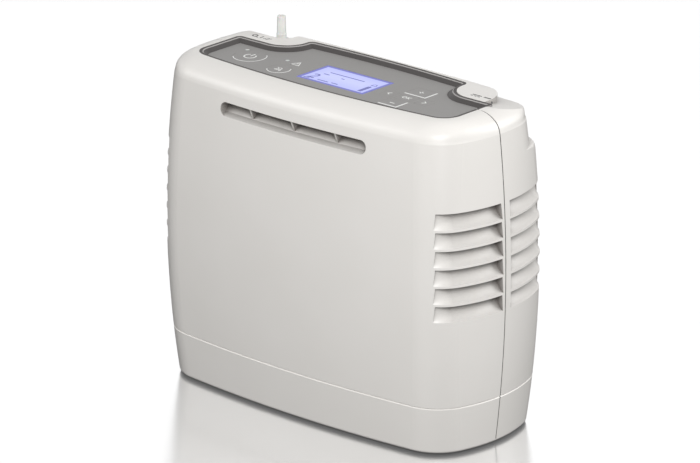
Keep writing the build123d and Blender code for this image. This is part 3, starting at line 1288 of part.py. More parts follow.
def feed_hose():
    """Hose from the compressor's head to the valve block."""
    z0 = CRANK_Z + CRANK_R + LINER_H + 3
    x0 = LINER_X[0] - HEAD_W / 2
    z1 = VALVE_Z + VALVE_T / 2
    x1 = valve_x()[1]
    first = Line((x0, FEED_Y, z0), (FRAME_X[0] - 2, FEED_Y, z0))
    turn = Spline(first @ 1, (FRAME_X[0] - 2 * HOSE_R, FEED_Y - 1, z0 + FEED_RISE),
                  (FRAME_X[0] - 2 * HOSE_R, FEED_Y - 5, z1 - FEED_DROP), (x1 + 5, BED_Y + 4, z1),
                  (x1 + 0.2, BED_Y, z1), tangents=((-1, 0, 0), (-1, 0, 0)))
    return hose(Wire([first.edge(), turn.edge()]))


def valve_x():
    mid = (BED_X[0] + BED_X[1]) / 2
    half = (SOLENOIDS * SOLENOID_PITCH + 4) / 2
    return mid - half, mid + half


def valve_block():
    z = (VALVE_Z, VALVE_Z + VALVE_T)
    y = (BED_Y - VALVE_D / 2, BED_Y + VALVE_D / 2)
    return box(valve_x(), y, z) - box((-FAR, FAR), (y[0] - 1, y[0] + 2), (z[1] - 3, z[1] + 1))


def solenoid_valves():
    mid = (BED_X[0] + BED_X[1]) / 2
    face = BED_Y + VALVE_D / 2
    z = VALVE_Z + VALVE_T / 2 + 1
    coils = []
    for dx in door_rows(SOLENOIDS, SOLENOID_PITCH):
        coil = rod_y(mid + dx, (face, face + SOLENOID_L), z, SOLENOID_R - 1)
        coils.append(coil + rod_y(mid + dx, (face + 3, face + SOLENOID_L - 3), z, SOLENOID_R))
    return Compound(coils)


def fan_frame():
    half = FAN_HALF
    frame = box(FAN_X, (-half, half), (FAN_Z - half, FAN_Z + half))
    frame -= rod_x((FAN_X[0] - 1, FAN_X[1] + 1), 0, FAN_Z, FAN_BORE_R)
    back = (FAN_X[0], FAN_X[0] + FAN_PLATE_T)
    adds = [rod_x(back, 0, FAN_Z, FAN_HUB_R), rod_x((FAN_X[0], FAN_X[1] - 5), 0, FAN_Z, FAN_PIN_R)]
    for turn in (0, 90, 180, 270):
        strut = Pos((back[0] + back[1]) / 2, 0, FAN_Z) * Rot(turn, 0, 0) * Pos(0, 0, FAN_BORE_R / 2)
        adds.append(strut * Box(FAN_PLATE_T, 3, FAN_BORE_R + 1))
    holes = [rod_x((FAN_X[0] - 1, FAN_X[1] + 1), dy, FAN_Z + dz, SCREW_R + FIT) for dy, dz in fan_holes()]
    return frame + adds - holes


def fan_impeller():
    x = (FAN_X[0] + FAN_PLATE_T + 0.6, FAN_X[1] - 1.0)
    hub = rod_x(x, 0, FAN_Z, FAN_HUB_R)
    mid = (x[0] + x[1]) / 2
    chord = (x[1] - x[0] - 1) / cos(radians(FAN_PITCH)) * 0.92
    blades = []
    for k in range(FAN_BLADES):
        place = Pos(mid, 0, FAN_Z) * Rot(360 * k / FAN_BLADES, 0, 0) * Pos(0, 0, FAN_HUB_R + 8)
        blades.append(place * Rot(0, 0, FAN_PITCH) * Box(chord, FAN_BLADE_T, 2 * FAN_HUB_R))
    wheel = hub + blades
    wheel &= rod_x(x, 0, FAN_Z, FAN_BORE_R - FAN_TIP_GAP)
    return wheel - rod_x((x[0] - 1, FAN_X[1] - 4.5), 0, FAN_Z, FAN_PIN_R + 0.06)


def rubber_feet():
    top = BODY_Z + FOOT_SUNK
    return Compound([post(x, y, (0, top), FOOT_R) for x in (-FOOT_X, FOOT_X) for y in (-FOOT_Y, FOOT_Y)])


def build():
    plan = recess_plan()
    nodes = {
        "front_shell": shell(True, plan, wall_posts(True),
                             both_ends(louvre_cuts(True)) + [vent_cut()] + post_holes(True)) + tongue(),
        "rear_shell": rear_shell_model(plan),
        "housing_seal": housing_seal(),
        "filter_door": filter_door(),
        "filter_foam": filter_foam(),
        "panel_bezel": panel_bezel(),
        "control_overlay": control_overlay(),
        "display_window": window_block(0, (FLOOR_Z - PANEL_FIT - WINDOW_T, FLOOR_Z - PANEL_FIT)),
        "display_module": window_block(MODULE_BORDER, (BOARD_Z, OVERLAY_Z - PANEL_FIT)),
        "indicator_lights": Compound([post(x, y, (BOARD_Z, FLOOR_Z - HAIR_GAP), LIGHT_R) for x, y in LIGHTS]),
        "tact_switches": tact_switches(),
        "display_board": display_board(),
        "panel_screws": Compound([Pos(x, y, BOARD_Z - BOARD_T) * screw(SMALL_SCREW_R, 4.5, 1.6, 1.2)
                                  for x, y in panel_posts()]),
        "oxygen_nozzle": oxygen_nozzle(),
        "nozzle_seal": nozzle_seal(),
        "power_inlet": power_inlet(),
        "chassis": chassis(),
        "chassis_screws": chassis_screws(),
        "case_screws": Compound([Pos(x, PART_Y + CASE_GRIP, BODY_Z + h) * Rot(90, 0, 0)
                                 * screw(SCREW_R, CASE_GRIP + SCREW_L - 1, HEAD_R, HEAD_T)
                                 for x in (-CASE_POST_X, CASE_POST_X) for h in CASE_POST_H]),
        "main_board": main_board(),
        "buzzer": buzzer(),
        "compressor_crankcase": compressor_crankcase(),
        "compressor_mounts": compressor_mounts(),
        "compressor_motor": compressor_motor(),
        "compressor_cylinders": compressor_cylinders(),
        "compressor_heads": compressor_heads(),
        "sieve_bed_left": sieve_bed(BED_X[0]),
        "sieve_bed_right": sieve_bed(BED_X[1]),
        "sieve_fill": sieve_fill(),
        "bed_base": manifold((DECK_Z, DECK_Z + MANIFOLD_T), (BED_Z, BED_Z + MANIFOLD_T)),
        "bed_head": manifold((HEAD_Z, VALVE_Z), (HEAD_Z - 1, HEAD_Z + BED_SOCKET)),
        "valve_block": valve_block(),
        "solenoid_valves": solenoid_valves(),
        "product_tank": product_tank(),
        "flow_sensor": flow_sensor(),
        "outlet_hose": outlet_hose(),
        "feed_hose": feed_hose(),
        "fan_frame": fan_frame(),
        "fan_impeller": fan_impeller(),
        "unit_plug": unit_plug(),
        "plug_blades": plug_blades(),
        "pack_front_shell": pack_shell(True),
        "pack_rear_shell": pack_shell(False),
        "pack_seal": pack_seal(),
        "pack_lid": pack_lid(),
        "lid_screws": Compound([Pos(x, y, LID_TOP_Z - LID_HEAD_T) * Rot(180, 0, 0)
                                * screw(SCREW_R, SCREW_L - 2, HEAD_R, LID_HEAD_T) for x, y in LID_POSTS]),
        "battery_cells": battery_cells(),
        "cell_holder": cell_holder(),
        "pack_board": pack_board(),
        "pack_socket": pack_socket(),
        "pack_latch": pack_latch(),
        "latch_spring": latch_spring(),
        "rubber_feet": rubber_feet(),
    }
    for name, shape, centre in key_shapes():
        nodes[name] = key(shape, centre)
    return nodes


for name, piece in build().items():
    export_step(piece, f"parts/{name}.step")
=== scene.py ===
# %% [markdown]
# # A portable oxygen concentrator in a photo studio
# The real object is an oval, barrel-sided housing of satin white plastic that stands on a pull-off
# battery pack. Its solids come from the CAD model as a fixed frame, in metres. This lesson gives every
# solid its finish, and adds what is printed, moulded or lit on top of them: key markings, the screen's
# picture, symbols and small trim.

# %% Load the frame
import json
from math import cos, radians, sin

import bmesh
import bpy
from mathutils import Matrix, Vector


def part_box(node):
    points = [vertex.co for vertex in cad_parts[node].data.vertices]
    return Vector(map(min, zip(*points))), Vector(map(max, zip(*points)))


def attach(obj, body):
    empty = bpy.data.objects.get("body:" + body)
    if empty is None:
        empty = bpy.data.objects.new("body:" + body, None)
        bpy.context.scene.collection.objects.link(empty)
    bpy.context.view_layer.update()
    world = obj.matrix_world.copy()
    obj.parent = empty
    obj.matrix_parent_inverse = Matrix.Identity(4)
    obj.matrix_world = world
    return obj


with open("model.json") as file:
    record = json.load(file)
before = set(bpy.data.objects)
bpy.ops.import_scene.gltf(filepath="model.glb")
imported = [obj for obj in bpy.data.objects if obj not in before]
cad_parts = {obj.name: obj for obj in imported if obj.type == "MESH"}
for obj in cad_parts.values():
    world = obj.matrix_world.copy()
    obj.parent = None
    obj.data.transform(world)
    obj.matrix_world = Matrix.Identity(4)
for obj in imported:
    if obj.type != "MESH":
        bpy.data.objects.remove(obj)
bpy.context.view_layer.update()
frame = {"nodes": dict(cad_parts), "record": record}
nodes = frame["nodes"]
MM = 0.001

# %% [markdown]
# ## The camera
# A long lens from nearly three metres away keeps upright edges nearly parallel, as product photographs
# do. Azimuth and elevation turn the camera round the object. It could be tipped to place the object in
# the frame, but that would change the perspective, so a small shift slides the picture on the sensor
# instead.

# %% Place the camera
AZIMUTH, ELEVATION = radians(41.53), radians(19.29)
AIM = Vector((0, 0, 0.1141))
DISTANCE = 2.8587
SENSOR_MM, LENS_MM = 36, 256.65
SHIFT = (-0.00104, -0.0323)    # shares of the sensor's width

lens = bpy.data.cameras.new("studio_camera")
lens.sensor_width, lens.lens = SENSOR_MM, LENS_MM
lens.shift_x, lens.shift_y = SHIFT
camera = bpy.data.objects.new("studio_camera", lens)
bpy.context.scene.collection.objects.link(camera)
back = Vector((sin(AZIMUTH) * cos(ELEVATION), -cos(AZIMUTH) * cos(ELEVATION), sin(ELEVATION)))
right = Vector((cos(AZIMUTH), sin(AZIMUTH), 0))
turn = Matrix((right, back.cross(right), back)).transposed()
camera.matrix_world = Matrix.Translation(AIM + back * DISTANCE) @ turn.to_4x4()
bpy.context.scene.camera = camera
print("camera at", [round(v, 3) for v in camera.location])

# %% [markdown]
# ## Colours and nodes
# Finishes are written as hex codes, the way a maker's colour card gives them, and one function turns
# them into the linear values that a shader wants. A second adds a node, sets its options, and fills or
# links its sockets, and a third starts a material from the principled shader.

# %% Helpers for every finish
def linear(code):
    """A hex colour as linear red, green and blue, with full alpha."""
    shares = [int(code[k:k + 2], 16) / 255 for k in (1, 3, 5)]
    return tuple(v / 12.92 if v <= 0.04045 else ((v + 0.055) / 1.055) ** 2.4 for v in shares) + (1.0,)


def add_node(tree, kind, sockets=None, **options):
    """Add a node, set its options, then fill its sockets with values or links."""
    node = tree.nodes.new("ShaderNode" + kind)
    for option, value in options.items():
        setattr(node, option, value)
    for socket, value in (sockets or {}).items():
        if isinstance(value, bpy.types.NodeSocket):
            tree.links.new(value, node.inputs[socket])
        else:
            node.inputs[socket].default_value = value
    return node


def new_finish(name, **surface):
    """A material with a plain principled shader; gives the material, its tree and the shader."""
    material = bpy.data.materials.new(name)
    material.use_nodes = True
    shader = material.node_tree.nodes["Principled BSDF"]
    for socket, value in surface.items():
        shader.inputs[socket.replace("_", " ")].default_value = value
    return material, material.node_tree, shader


print("satin white in linear light:", [round(v, 3) for v in linear("#E8E5E1")])

# %% [markdown]
# ## The studio
# The object stands on a white painted table that runs away behind it. Most of what the camera sees of
# it is a blurred mirror image, of the white room and of the foot of the pack; the rest is a plain white
# that takes the lamps' light and the soft shadow, with a faint light of its own. Every other ray sees a
# darker table, so little light comes back up from it and the barrel's lower half stays in shade. The
# world works in the same way: the camera, glossy and transmitted rays see it white, while the light
# that it gives the object stays moderate.

# %% White world
ROOM = 0.19                # strength of the light that comes from all round

world = bpy.data.worlds.new("white_studio")
bpy.context.scene.world = world
world.use_nodes = True
sky = world.node_tree
sky.nodes.clear()
path = add_node(sky, "LightPath")
mirrored = add_node(sky, "Math", {0: path.outputs["Is Camera Ray"], 1: path.outputs["Is Glossy Ray"]},
                    operation="MAXIMUM")
seen = add_node(sky, "Math", {0: mirrored.outputs[0], 1: path.outputs["Is Transmission Ray"]},
                operation="MAXIMUM")
room = add_node(sky, "Background", {"Color": linear("#E9EBEF"), "Strength": ROOM})
white = add_node(sky, "Background", {"Color": (1, 1, 1, 1), "Strength": 1.0})
both = add_node(sky, "MixShader", {0: seen.outputs[0], 1: room.outputs[0], 2: white.outputs[0]})
add_node(sky, "OutputWorld", {"Surface": both.outputs[0]})
bpy.context.scene.view_settings.view_transform = "Standard"
print("world:", world.name, "with room light", ROOM)

# %% White floor
FLOOR_HALF = 6.0
FLOOR_GLOSS = 0.90         # share of the floor that mirrors
FLOOR_BLUR = 0.2           # roughness of that mirror
FLOOR_LIFT = 0.06          # light that the eye sees on top of the lamps' light

sheet = bmesh.new()
bmesh.ops.create_grid(sheet, x_segments=8, y_segments=8, size=FLOOR_HALF)
floor_mesh = bpy.data.meshes.new("studio_floor")
sheet.to_mesh(floor_mesh)
sheet.free()
floor = bpy.data.objects.new("studio_floor", floor_mesh)
bpy.context.scene.collection.objects.link(floor)
paper, tree, shader = new_finish("painted_table")
tree.nodes.remove(shader)
path = add_node(tree, "LightPath")
dull = add_node(tree, "BsdfDiffuse", {"Color": linear("#F4F4F4")})
gloss = add_node(tree, "BsdfGlossy", {"Color": (1, 1, 1, 1), "Roughness": FLOOR_BLUR})
seen = add_node(tree, "MixShader", {0: FLOOR_GLOSS, 1: dull.outputs[0], 2: gloss.outputs[0]})
lift = add_node(tree, "Emission", {"Strength": FLOOR_LIFT})
lifted = add_node(tree, "AddShader", {0: seen.outputs[0], 1: lift.outputs[0]})
bounce = add_node(tree, "BsdfDiffuse", {"Color": linear("#505050")})
lit = add_node(tree, "MixShader", {0: path.outputs["Is Camera Ray"], 1: bounce.outputs[0],
                                   2: lifted.outputs[0]})
tree.links.new(lit.outputs[0], tree.nodes["Material Output"].inputs["Surface"])
floor_mesh.materials.append(paper)
print("floor half-width in m:", FLOOR_HALF)

# %% [markdown]
# Four area lamps light the object. The key hangs nearer to it than the camera, and above the camera's
# line of sight, so that the shoulder turns nearly white and the light falls off down the barrel. A
# weaker one on the left fills the long face's far end, one behind draws the pale line along the rim,
# and a small low one brightens the corner. They could be points, but boxes of this size keep the
# shadows soft.

# %% Soft boxes
def softbox(name, place, size, watts):
    """An area lamp that looks at the middle of the object."""
    lamp = bpy.data.lights.new(name, "AREA")
    lamp.shape, lamp.size, lamp.size_y, lamp.energy = "RECTANGLE", size[0], size[1], watts
    holder = bpy.data.objects.new(name, lamp)
    bpy.context.scene.collection.objects.link(holder)
    holder.location = place
    holder.rotation_euler = (AIM - Vector(place)).to_track_quat("-Z", "Y").to_euler()


softbox("key_softbox", (1.05, -1.15, 1.05), (0.8, 0.8), 26)
softbox("fill_softbox", (-1.4, -1.3, 1.1), (1.0, 1.0), 14)
softbox("rim_softbox", (0.95, 1.0, 0.8), (0.8, 0.8), 12.5)
softbox("strip_light", (1.15, -1.05, 0.22), (0.25, 0.35), 2.2)

# %% [markdown]
# ## Moulded plastics
# Most of what shows is injection-moulded. A mould leaves two marks: a fine spark-eroded grain that
# softens the gloss, and slow changes of tone where the wall cools thick or thin. Both could be painted,
# but noise on object coordinates needs no unwrapping. The real grain is too fine to show in the render,
# so it is drawn with a size of 0.6 to 1.2 mm, and the tone changes over centimetres. Hollows as deep as
# the louvres get painted shade: an ambient occlusion node finds such places, and a darker colour is
# mixed into the plastic's own there.

# %% A family of moulded finishes
# the next two numbers shape the painted shade in hollows
SHADE_REACH = 14 * MM     # walls nearer than this make a hollow
SHADE_SPAN = (0.35, 0.95) # open share of a place that is all hollow, and of one that is all open
SHEEN_SPREAD = 0.05        # how far the grain moves the roughness, up and down
GRAIN_STRENGTH = 0.7       # share of the grain's depth that the shading shows
# the bezel's tones by depth below its top: a darker lip, and a painted highlight on the rolled edge
LIP_DEPTH = 0.05 * MM      # the bezel's flat lip lies above this depth
ROLL_DEPTH = 0.45 * MM     # and its rolled edge above this one


def moulded(name, colour, tone, roughness, grain_mm, depth_mm, tone_mm=45.0, hollow_shade=None, gloss=0.5):
    """Grained plastic: a colour, a second tone for slow variation, roughness, the grain's size and depth,
    the size of the slow variation, the colour of the painted shade in deep hollows, and how much the surface
    mirrors."""
    material, tree, shader = new_finish(name, Specular_IOR_Level=gloss)
    place = add_node(tree, "TexCoord").outputs["Object"]
    cloud = add_node(tree, "TexNoise", {"Vector": place, "Scale": 1 / (tone_mm * MM), "Detail": 2.0})
    grain = add_node(tree, "TexNoise", {"Vector": place, "Scale": 1 / (grain_mm * MM), "Detail": 3.0})
    tones = add_node(tree, "Mix", {0: cloud.outputs[0], 6: linear(colour), 7: linear(tone)}, data_type="RGBA")
    sheen = add_node(tree, "MapRange", {"Value": grain.outputs[0], "To Min": roughness - SHEEN_SPREAD,
                                        "To Max": roughness + SHEEN_SPREAD})
    bump = add_node(tree, "Bump", {"Height": grain.outputs[0], "Distance": depth_mm * MM,
                                   "Strength": GRAIN_STRENGTH})
    # painted shade: where an ambient occlusion node finds near walls, the colour turns darker
    if hollow_shade:
        share = add_node(tree, "AmbientOcclusion", {"Distance": SHADE_REACH}, samples=6, only_local=True)
        depth = add_node(tree, "MapRange", {"Value": share.outputs["AO"], "From Min": SHADE_SPAN[0],
                                            "From Max": SHADE_SPAN[1]})
        tones = add_node(tree, "Mix", {0: depth.outputs[0], 6: linear(hollow_shade), 7: tones.outputs[2]},
                         data_type="RGBA")
    for socket, source in (("Base Color", tones.outputs[2]), ("Roughness", sheen.outputs[0]),
                           ("Normal", bump.outputs[0])):
        tree.links.new(source, shader.inputs[socket])
    return material


finishes = {
    # satin white PC/ABS: broad soft highlights, no sparkle, and painted shade in its hollows
    "housing_white": moulded("moulded_satin_pc_abs", "#E8E5E1", "#E3E0DB", 0.36, 0.9, 0.010, hollow_shade="#6F6A66",
                              gloss=0.4),
    # the same plastic in grey, for the latch button: a little duller than the housing
    "latch_grey": moulded("moulded_grey_pc_abs", "#C9C8C5", "#C2C1BE", 0.42, 0.8, 0.020),
    # dark ABS of the bezel, with a finer and deeper grain, so that it looks matt beside the panel
    "bezel_dark": moulded("moulded_dark_abs", "#4A4746", "#454241", 0.44, 0.6, 0.020, gloss=0.25),
    # black nylon of the fan, the plugs, the switches and the sensor: matt, with a dry grain
    "black_plastic": moulded("moulded_black_nylon", "#2B2B2C", "#262627", 0.45, 0.6, 0.020),
    # glass-filled nylon of the inner frame, the pack's lid and the cell holder, cloudy from its fibres
    "chassis_grey": moulded("moulded_glass_filled_nylon", "#7D7F80", "#727476", 0.52, 1.2, 0.030, 16.0),
    # acetal of the blocks that carry gas: dense and slightly waxy
    "manifold_plastic": moulded("moulded_grey_acetal", "#5F6265", "#575A5D", 0.38, 0.8, 0.012),
    # moulded rubber of the seals, the mounts and the feet: dull, nearly black
    "rubber": moulded("moulded_epdm_rubber", "#161515", "#111010", 0.85, 0.9, 0.030, gloss=0.1),
}
# the bezel's rolled edge gets a painted highlight, a pale band just below its top, and its flat lip is
# painted darker
tree = finishes["bezel_dark"].node_tree
shader = tree.nodes["Principled BSDF"]
bezel_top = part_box("panel_bezel")[1].z
height = add_node(tree, "SeparateXYZ", {0: add_node(tree, "TexCoord").outputs["Object"]})
plain = shader.inputs["Base Color"].links[0].from_socket
for depth, code in ((ROLL_DEPTH, "#A5A2A0"), (LIP_DEPTH, "#34302E")):
    above = add_node(tree, "Math", {0: height.outputs["Z"], 1: bezel_top - depth}, operation="GREATER_THAN")
    shade = add_node(tree, "Mix", {0: above.outputs[0], 6: plain, 7: linear(code)}, data_type="RGBA")
    plain = shade.outputs[2]
tree.links.new(plain, shader.inputs["Base Color"])
print("moulded finishes:", sorted(finishes))

# %% [markdown]
# ## Panel film
# The control panel is a printed polyester film. It is matt grey with a very fine, even texture from its
# coating, and the keys are of the same film, a shade darker. Noise would look cloudy here, so the
# coating is drawn as cells, half a millimetre wide, which is coarser than the real ones, so that they
# show.

# %% Printed film for the panel and the keys
COATING_CELL = 0.5 * MM
COATING_DEPTH = 0.006 * MM
BUMP_SHARE = 0.6           # share of a pattern's depth that the shading shows


def printed_film(name, colour, tone, roughness):
    """Matt coated film: fine cells rather than cloudy grain, because a coating dries into them."""
    material, tree, shader = new_finish(name, Roughness=roughness)
    place = add_node(tree, "TexCoord").outputs["Object"]
    cells = add_node(tree, "TexVoronoi", {"Vector": place, "Scale": 1 / COATING_CELL}, feature="F1")
    tones = add_node(tree, "Mix", {0: cells.outputs["Distance"], 6: linear(colour), 7: linear(tone)},
                     data_type="RGBA")
    bump = add_node(tree, "Bump", {"Height": cells.outputs["Distance"], "Distance": COATING_DEPTH,
                                   "Strength": BUMP_SHARE})
    tree.links.new(tones.outputs[2], shader.inputs["Base Color"])
    tree.links.new(bump.outputs[0], shader.inputs["Normal"])
    return material


finishes["panel_grey"] = printed_film("coated_polyester_film", "#8E8C8A", "#898785", 0.50)
finishes["key_grey"] = printed_film("coated_polyester_key", "#8B8987", "#868482", 0.46)
print("film:", finishes["panel_grey"].name)

# %% [markdown]
# ## Milky parts
# The small lights are milky light pipes, the nozzle is natural polypropylene and the hoses are
# silicone. Light enters all three a millimetre or two deep. A transmissive shader could show that too,
# but it is noisy in a short render, so a share of subsurface scattering softens their shading instead.

# %% Light pipes, nozzle and hose
MILK = 0.15                # share of the light that goes under the skin
FLOW_SIZE = 6.0 * MM       # size of the flow marks


def milky(name, colour, tone, roughness, depth_mm):
    """A part that light enters: colour, a second tone for flow marks, roughness, and the light's depth."""
    material, tree, shader = new_finish(name, Roughness=roughness, Subsurface_Weight=MILK,
                                        Subsurface_Scale=depth_mm * MM)
    place = add_node(tree, "TexCoord").outputs["Object"]
    flow = add_node(tree, "TexNoise", {"Vector": place, "Scale": 1 / FLOW_SIZE, "Detail": 2.0})
    tones = add_node(tree, "Mix", {0: flow.outputs[0], 6: linear(colour), 7: linear(tone)}, data_type="RGBA")
    tree.links.new(tones.outputs[2], shader.inputs["Base Color"])
    return material


finishes["indicator"] = milky("milky_light_pipe", "#D9DBD8", "#D0D2CF", 0.30, 1.0)
finishes["nozzle_white"] = milky("natural_polypropylene", "#E3E3DF", "#DADAD5", 0.22, 2.0)
finishes["hose"] = milky("extruded_silicone", "#D3D9DA", "#C4CACB", 0.38, 2.0)
print("milky finishes:", [finishes[k].name for k in ("indicator", "nozzle_white", "hose")])

# %% [markdown]
# ## Metals
# Inside are cast, drawn, plated and painted metals, a taped coil and the cells' plastic sleeves. Most
# of them show only in an opened model, so one family of shaders serves them all, each with the mark of
# its making: cast skin is pebbled, drawn and stamped metal has lines along one direction, and the rest
# is smooth.

# %% A family of metal finishes
METAL_SPREAD = 0.08        # how far the marks move the roughness, up and down


def metal(name, colour, tone, roughness, mark_mm, depth_mm, stretch=(1, 1, 1), metallic=1.0):
    """Metal with marks of its making: their size, depth and stretch, where a small number draws them out."""
    material, tree, shader = new_finish(name, Metallic=metallic)
    place = add_node(tree, "TexCoord").outputs["Object"]
    drawn = add_node(tree, "Mapping", {"Vector": place, "Scale": stretch})
    marks = add_node(tree, "TexNoise", {"Vector": drawn.outputs[0], "Scale": 1 / (mark_mm * MM),
                                        "Detail": 4.0})
    tones = add_node(tree, "Mix", {0: marks.outputs[0], 6: linear(colour), 7: linear(tone)}, data_type="RGBA")
    sheen = add_node(tree, "MapRange", {"Value": marks.outputs[0], "To Min": roughness - METAL_SPREAD,
                                        "To Max": roughness + METAL_SPREAD})
    bump = add_node(tree, "Bump", {"Height": marks.outputs[0], "Distance": depth_mm * MM,
                                   "Strength": BUMP_SHARE})
    for socket, source in (("Base Color", tones.outputs[2]), ("Roughness", sheen.outputs[0]),
                           ("Normal", bump.outputs[0])):
        tree.links.new(source, shader.inputs[socket])
    return material


# bright zinc plating on the screws and the latch's spring
finishes["steel"] = metal("zinc_plated_steel", "#C4C6C9", "#AEB1B6", 0.30, 0.5, 0.01)
# the compressor's castings: dull, with a pebbled skin
finishes["cast_aluminium"] = metal("die_cast_aluminium", "#B9BBBD", "#9EA1A4", 0.50, 0.8, 0.06)
# the tubes of the sieve beds and the tank: satin, with long lines up the tube
finishes["canister"] = metal("drawn_anodised_aluminium", "#C9CCD0", "#B5B9BE", 0.34, 0.6, 0.02,
                             stretch=(1, 1, 0.05))
# the plugs' blades: warm, with lines up the blade
finishes["brass"] = metal("stamped_brass", "#D9B36A", "#C79E55", 0.30, 0.4, 0.01, stretch=(1, 1, 0.1))
# paint, tape and a shrunk plastic sleeve hide the metal below them, so their metallic share is nought
finishes["motor_steel"] = metal("painted_motor_steel", "#37383B", "#2E2F31", 0.42, 1.0, 0.02, metallic=0.0)
finishes["solenoid"] = metal("taped_copper_coil", "#3E3A34", "#302D2A", 0.50, 0.8, 0.04,
                             stretch=(1, 0.2, 1), metallic=0.0)
finishes["cell"] = metal("shrink_wrapped_steel_can", "#2F78B4", "#2A6DA6", 0.32, 3.0, 0.02, metallic=0.0)
print("finishes so far:", len(finishes))

# %% [markdown]
# ## Boards, beads and foam
# Three finishes have a pattern of their own. Sieve beads are 2 mm balls, which cells of that size draw.
# Reticulated foam is all holes, so cells darken it and pit it deeply. A circuit board is green solder
# mask over copper tracks. An image could show a real layout, but a brick texture with mortar of a paler
# green stands for tracks 2 mm apart.

# %% Patterned finishes
CELL_SHARE = 0.8           # share of the cells' depth that the shading shows


def celled(name, colour, dark, size_mm, depth_mm, roughness):
    """A surface of packed cells: beads or foam."""
    material, tree, shader = new_finish(name, Roughness=roughness)
    place = add_node(tree, "TexCoord").outputs["Object"]
    cells = add_node(tree, "TexVoronoi", {"Vector": place, "Scale": 1 / (size_mm * MM)}, feature="F1")
    tones = add_node(tree, "Mix", {0: cells.outputs["Distance"], 6: linear(colour), 7: linear(dark)},
                     data_type="RGBA")
    bump = add_node(tree, "Bump", {"Height": cells.outputs["Distance"], "Distance": depth_mm * MM,
                                   "Strength": CELL_SHARE}, invert=True)
    tree.links.new(tones.outputs[2], shader.inputs["Base Color"])
    tree.links.new(bump.outputs[0], shader.inputs["Normal"])
    return material


finishes["sieve_beads"] = celled("zeolite_beads", "#D8CDB8", "#8A806C", 2.0, 0.6, 0.8)
finishes["foam"] = celled("reticulated_foam", "#5A5A5C", "#1C1C1E", 1.4, 0.5, 0.9)

TRACK_RUN, TRACK_PITCH, TRACK_GAP = 9.0 * MM, 2.0 * MM, 0.25 * MM
COPPER_H = 0.04 * MM

board, tree, shader = new_finish("solder_masked_fr4", Roughness=0.32)
place = add_node(tree, "TexCoord").outputs["Object"]
tracks = add_node(tree, "TexBrick", {"Vector": place, "Scale": 1.0, "Brick Width": TRACK_RUN,
                                     "Row Height": TRACK_PITCH, "Mortar Size": TRACK_GAP,
                                     "Color1": linear("#1E6A3C"), "Color2": linear("#1B6137"),
                                     "Mortar": linear("#2F8A50")})
copper = add_node(tree, "Bump", {"Height": tracks.outputs["Fac"], "Distance": COPPER_H,
                                "Strength": BUMP_SHARE})
tree.links.new(tracks.outputs["Color"], shader.inputs["Base Color"])
tree.links.new(copper.outputs[0], shader.inputs["Normal"])
finishes["circuit_board"] = board
print("patterned:", board.name)

# %% [markdown]
# ## The screen's light
# The screen is a backlit liquid-crystal module, bonded to its acrylic window, so the picture seems to
# lie at the window's face: the window shines and keeps its own sharp gloss. A clear window over a lit
# module could be used too, but it needs a glass shader for a piece half a millimetre thick. The
# backlight is lavender blue, brightest in the middle and deeper blue in the unlit band. The emission is
# worked out from the distance to the nearer edge, read from object coordinates that a Mapping node
# centres on the screen.

# %% Backlight
screen_low, screen_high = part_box("display_window")
screen_mid = (screen_low + screen_high) / 2
screen_half = (screen_high - screen_low) / 2
SCREEN_BAND = 2.2 * MM     # unlit band round the picture
BAND_BLUR = 0.3 * MM       # half-width of the band's soft edge
GLOW_REACH = 12 * MM       # distance from the edge at which the picture is brightest
BACKLIGHT = 0.92           # strength of the light

backlight, tree, shader = new_finish("backlit_lcd", Roughness=0.10)
place = add_node(tree, "TexCoord").outputs["Object"]
centred = add_node(tree, "Mapping", {"Vector": place, "Location": screen_mid}, vector_type="TEXTURE")
folded = add_node(tree, "VectorMath", {0: centred.outputs[0]}, operation="ABSOLUTE")
inwards = add_node(tree, "VectorMath", {0: tuple(screen_half), 1: folded.outputs[0]}, operation="SUBTRACT")
axes = add_node(tree, "SeparateXYZ", {0: inwards.outputs[0]})
nearer = add_node(tree, "Math", {0: axes.outputs[0], 1: axes.outputs[1]}, operation="MINIMUM")
inside = add_node(tree, "MapRange", {"Value": nearer.outputs[0], "From Min": SCREEN_BAND - BAND_BLUR,
                                     "From Max": SCREEN_BAND + BAND_BLUR}, interpolation_type="SMOOTHSTEP")
bulge = add_node(tree, "MapRange", {"Value": nearer.outputs[0], "From Min": 0.0, "From Max": GLOW_REACH})
lit = add_node(tree, "Mix", {0: bulge.outputs[0], 6: linear("#A4ABEE"), 7: linear("#B8BEF8")},
               data_type="RGBA")
picture = add_node(tree, "Mix", {0: inside.outputs[0], 6: linear("#454AB0"), 7: lit.outputs[2]},
                   data_type="RGBA")
tree.links.new(picture.outputs[2], shader.inputs["Emission Color"])
shader.inputs["Emission Strength"].default_value = BACKLIGHT
shader.inputs["Base Color"].default_value = linear("#14163A")
finishes["display"] = finishes["window"] = backlight
print("screen in mm:", [round(2 * v / MM, 1) for v in screen_half])

# %% [markdown]
# ## Dress the CAD solids
# The record names a slot for each node, and every solid gets its slot's finish. The material is all
# that changes here: the meshes, and how they are shaded, stay as the frame gives them.

# %% Finish every node
slots = {row["node"]: row["material_slot"] for row in frame["record"]["subparts"]}
for name, node in nodes.items():
    node.data.materials.clear()
    node.data.materials.append(finishes[slots[name]])
print("dressed:", len(nodes), "nodes with", len({slots[n] for n in nodes}), "finishes")

# %% [markdown]
# ## Print on the panel
# The markings are screen-printed: a layer of ink five hundredths of a millimetre thick. A few painted
# highlights on the keys' edges are laid in the same way. A text object or an image could carry them,
# but real strokes stay sharp at any size and need no font. Each mark is a band that follows a line or
# an arc. It starts as one short edge across the line, is pushed along it corner by corner, or spun
# round a centre, and is then given the ink's thickness.

# %% Strokes of ink
INK_T = 0.05 * MM
PANEL_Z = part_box("control_overlay")[1].z
MERGE_WITHIN = 0.001 * MM
MITRE_LIMIT = 0.3          # least cosine of half a turn, so that no corner grows a long point
ARC_STEP, ARC_STEPS = 7.5, 8   # degrees in one step of an arc, and the fewest steps


